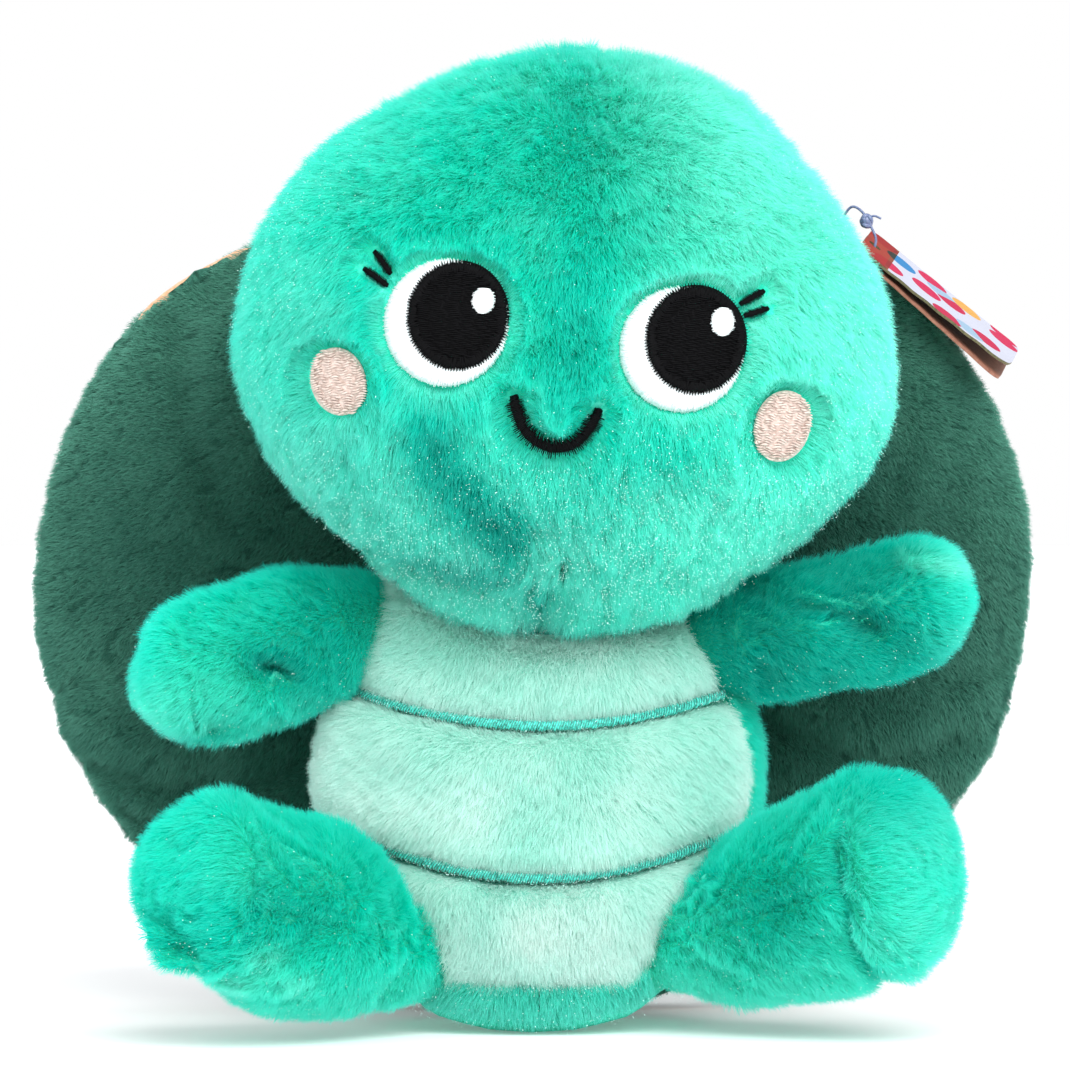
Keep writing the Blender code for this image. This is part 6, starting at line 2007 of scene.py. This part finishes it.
def tag_leaf(name, swing, low, material, scallop, curl):
    g, t = grid_sheet(150, 96)
    x = -3.0 + g[:, 0] * TAG_LEN
    y = (g[:, 1] - 0.5) * TAG_WID
    cx, cy = -3.0 + TAG_LEN / 2, 0.0
    hx, hy, r = TAG_LEN / 2, TAG_WID / 2, 4.0
    qx, qy = np.abs(x - cx) - hx + r, np.abs(y - cy) - hy + r
    sd = np.hypot(np.maximum(qx, 0), np.maximum(qy, 0)) + np.minimum(np.maximum(qx, qy), 0) - r
    edge = scallop * 0.5 * (1 + np.sin(x * 2 * np.pi / 8.5)) * step(-6, -16, y)
    field = np.minimum(-sd - edge + 1e-6, np.hypot(x, y) - 1.9)
    v = np.stack([x, y, np.zeros(len(x))], 1)
    v, t, _ = clip(v, t, field)
    s = np.clip((v[:, 0] - 8) / 44, 0, 1)
    v[:, 2] = low + TAG_T / 2 + curl * s * s + 0.12 * np.sin(v[:, 1] * 0.3) * s
    v, t = thicken(v, t, np.broadcast_to(np.array((0, 0, 1.0)), v.shape), TAG_T)
    me = bpy.data.meshes.new(name + "_sewn")
    me.from_pydata([tuple(p) for p in v * MM], [], [tuple(f) for f in t.tolist()])
    me.validate()
    me.materials.append(material)
    ob = bpy.data.objects.new(name + "_card", me)
    bpy.context.scene.collection.objects.link(ob)
    turn = TAG_TURN @ Matrix.Rotation(-swing, 3, "Y")
    ob.matrix_world = Matrix.Translation(Vector((TAG_PIN + SHIFT) * MM)) @ turn.to_4x4()
    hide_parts(name)
    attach(ob, BODY_OF[name])
    return ob


tag_leaf("tag_cover_leaf", 0.0, 0.75 - TAG_T / 2, card_material(), 1.0, 0.5)
tag_leaf("tag_back_leaf", -TAG_OPEN, -0.75 - TAG_T / 2, back_card_material(), 0.4, -0.4)

loop = spline([(79.7, 52.4, 200.8), (80.5, 51.0, 206.0), (82.8, 48.8, 209.2), (85.6, 47.2, 207.6), (87.8, 46.2, 203.6),
               (88.9, 45.8, 200.2), (87.3, 46.3, 196.9), (83.9, 47.9, 198.4), (79.7, 52.4, 200.8)], np.linspace(0, 1, 97))
heap = Heap()
heap.add(*tubes(loop[None], 0.34, 10))
knot_a = np.linspace(0, 5 * np.pi, 80)
knot = np.stack([86.5 + 1.1 * np.cos(knot_a) * (0.8 + 0.2 * np.sin(knot_a * 1.3)), 46.2 + 0.9 * np.sin(knot_a * 1.6),
                 205.4 + 1.3 * np.sin(knot_a)], 1)
heap.add(*tubes(knot[None], 0.66, 8))
ku, kt = ball_grid(28, 18)
kr = 1.0 + 0.10 * noise(ku * 3.0, 1.6, 120)
heap.add(np.array((86.5, 46.2, 205.4)) + ku * np.array((1.75, 1.45, 2.0)) * kr[:, None], kt)
heap.add(*tubes(spline([(87.2, 45.6, 206.4), (88.6, 45.0, 206.6), (90.2, 44.6, 205.9)], np.linspace(0, 1, 20))[None], 0.28, 8))
piece("tag_fastener", *heap.arrays(), nylon_material(), "nylon")

# ------------------------------------------------------------ floor, light, camera
floor_mat, nt, bsdf, nodes, links = nodes_of("pale_floor")
bsdf.inputs["Base Color"].default_value = (0.95, 0.95, 0.95, 1)
bsdf.inputs["Emission Color"].default_value = (1, 1, 1, 1)
bsdf.inputs["Emission Strength"].default_value = 0.14
bsdf.inputs["Roughness"].default_value = 0.9
bsdf.inputs["Specular IOR Level"].default_value = 0.1
me = bpy.data.meshes.new("floor")
me.from_pydata([(-60, -60, 0), (60, -60, 0), (60, 60, 0), (-60, 60, 0)], [], [(0, 1, 2, 3)])
me.materials.append(floor_mat)
floor = bpy.data.objects.new("floor", me)
bpy.context.scene.collection.objects.link(floor)

world = bpy.data.worlds.new("studio")
bpy.context.scene.world = world
world.use_nodes = True
wn, wl = world.node_tree.nodes, world.node_tree.links
bg = wn["Background"]
bg.inputs["Color"].default_value = (0.96, 0.98, 1.0, 1)
bg.inputs["Strength"].default_value = 0.86
seen = wn.new("ShaderNodeBackground")
seen.inputs["Color"].default_value = (1, 1, 1, 1)
seen.inputs["Strength"].default_value = 1.0
path = wn.new("ShaderNodeLightPath")
mix = wn.new("ShaderNodeMixShader")
wl.new(path.outputs["Is Camera Ray"], mix.inputs["Fac"])
wl.new(bg.outputs["Background"], mix.inputs[1])
wl.new(seen.outputs["Background"], mix.inputs[2])
wl.new(mix.outputs["Shader"], wn["World Output"].inputs["Surface"])


def sun(name, towards, strength, angle, colour=(1, 1, 1)):
    data = bpy.data.lights.new(name, "SUN")
    data.energy = strength
    data.angle = math.radians(angle)
    data.color = colour
    ob = bpy.data.objects.new(name, data)
    bpy.context.scene.collection.objects.link(ob)
    ob.rotation_euler = Vector(towards).to_track_quat("-Z", "Y").to_euler()
    return ob


sun("key", (-0.34, 0.86, -0.66), 2.95, 45)
sun("fill", (0.6, 0.8, -0.4), 0.85, 70)

cam_data = bpy.data.cameras.new("camera")
cam_data.lens = 200
cam_data.sensor_width = 36
cam_data.clip_end = 200
cam = bpy.data.objects.new("camera", cam_data)
bpy.context.scene.collection.objects.link(cam)
cam.location = (0.00055, -1.5031, 0.1237)
cam.rotation_euler = (math.radians(90), 0, 0)
bpy.context.scene.camera = cam
bpy.context.scene.view_settings.view_transform = "Standard"

print("pile fibres", STRANDS[0])
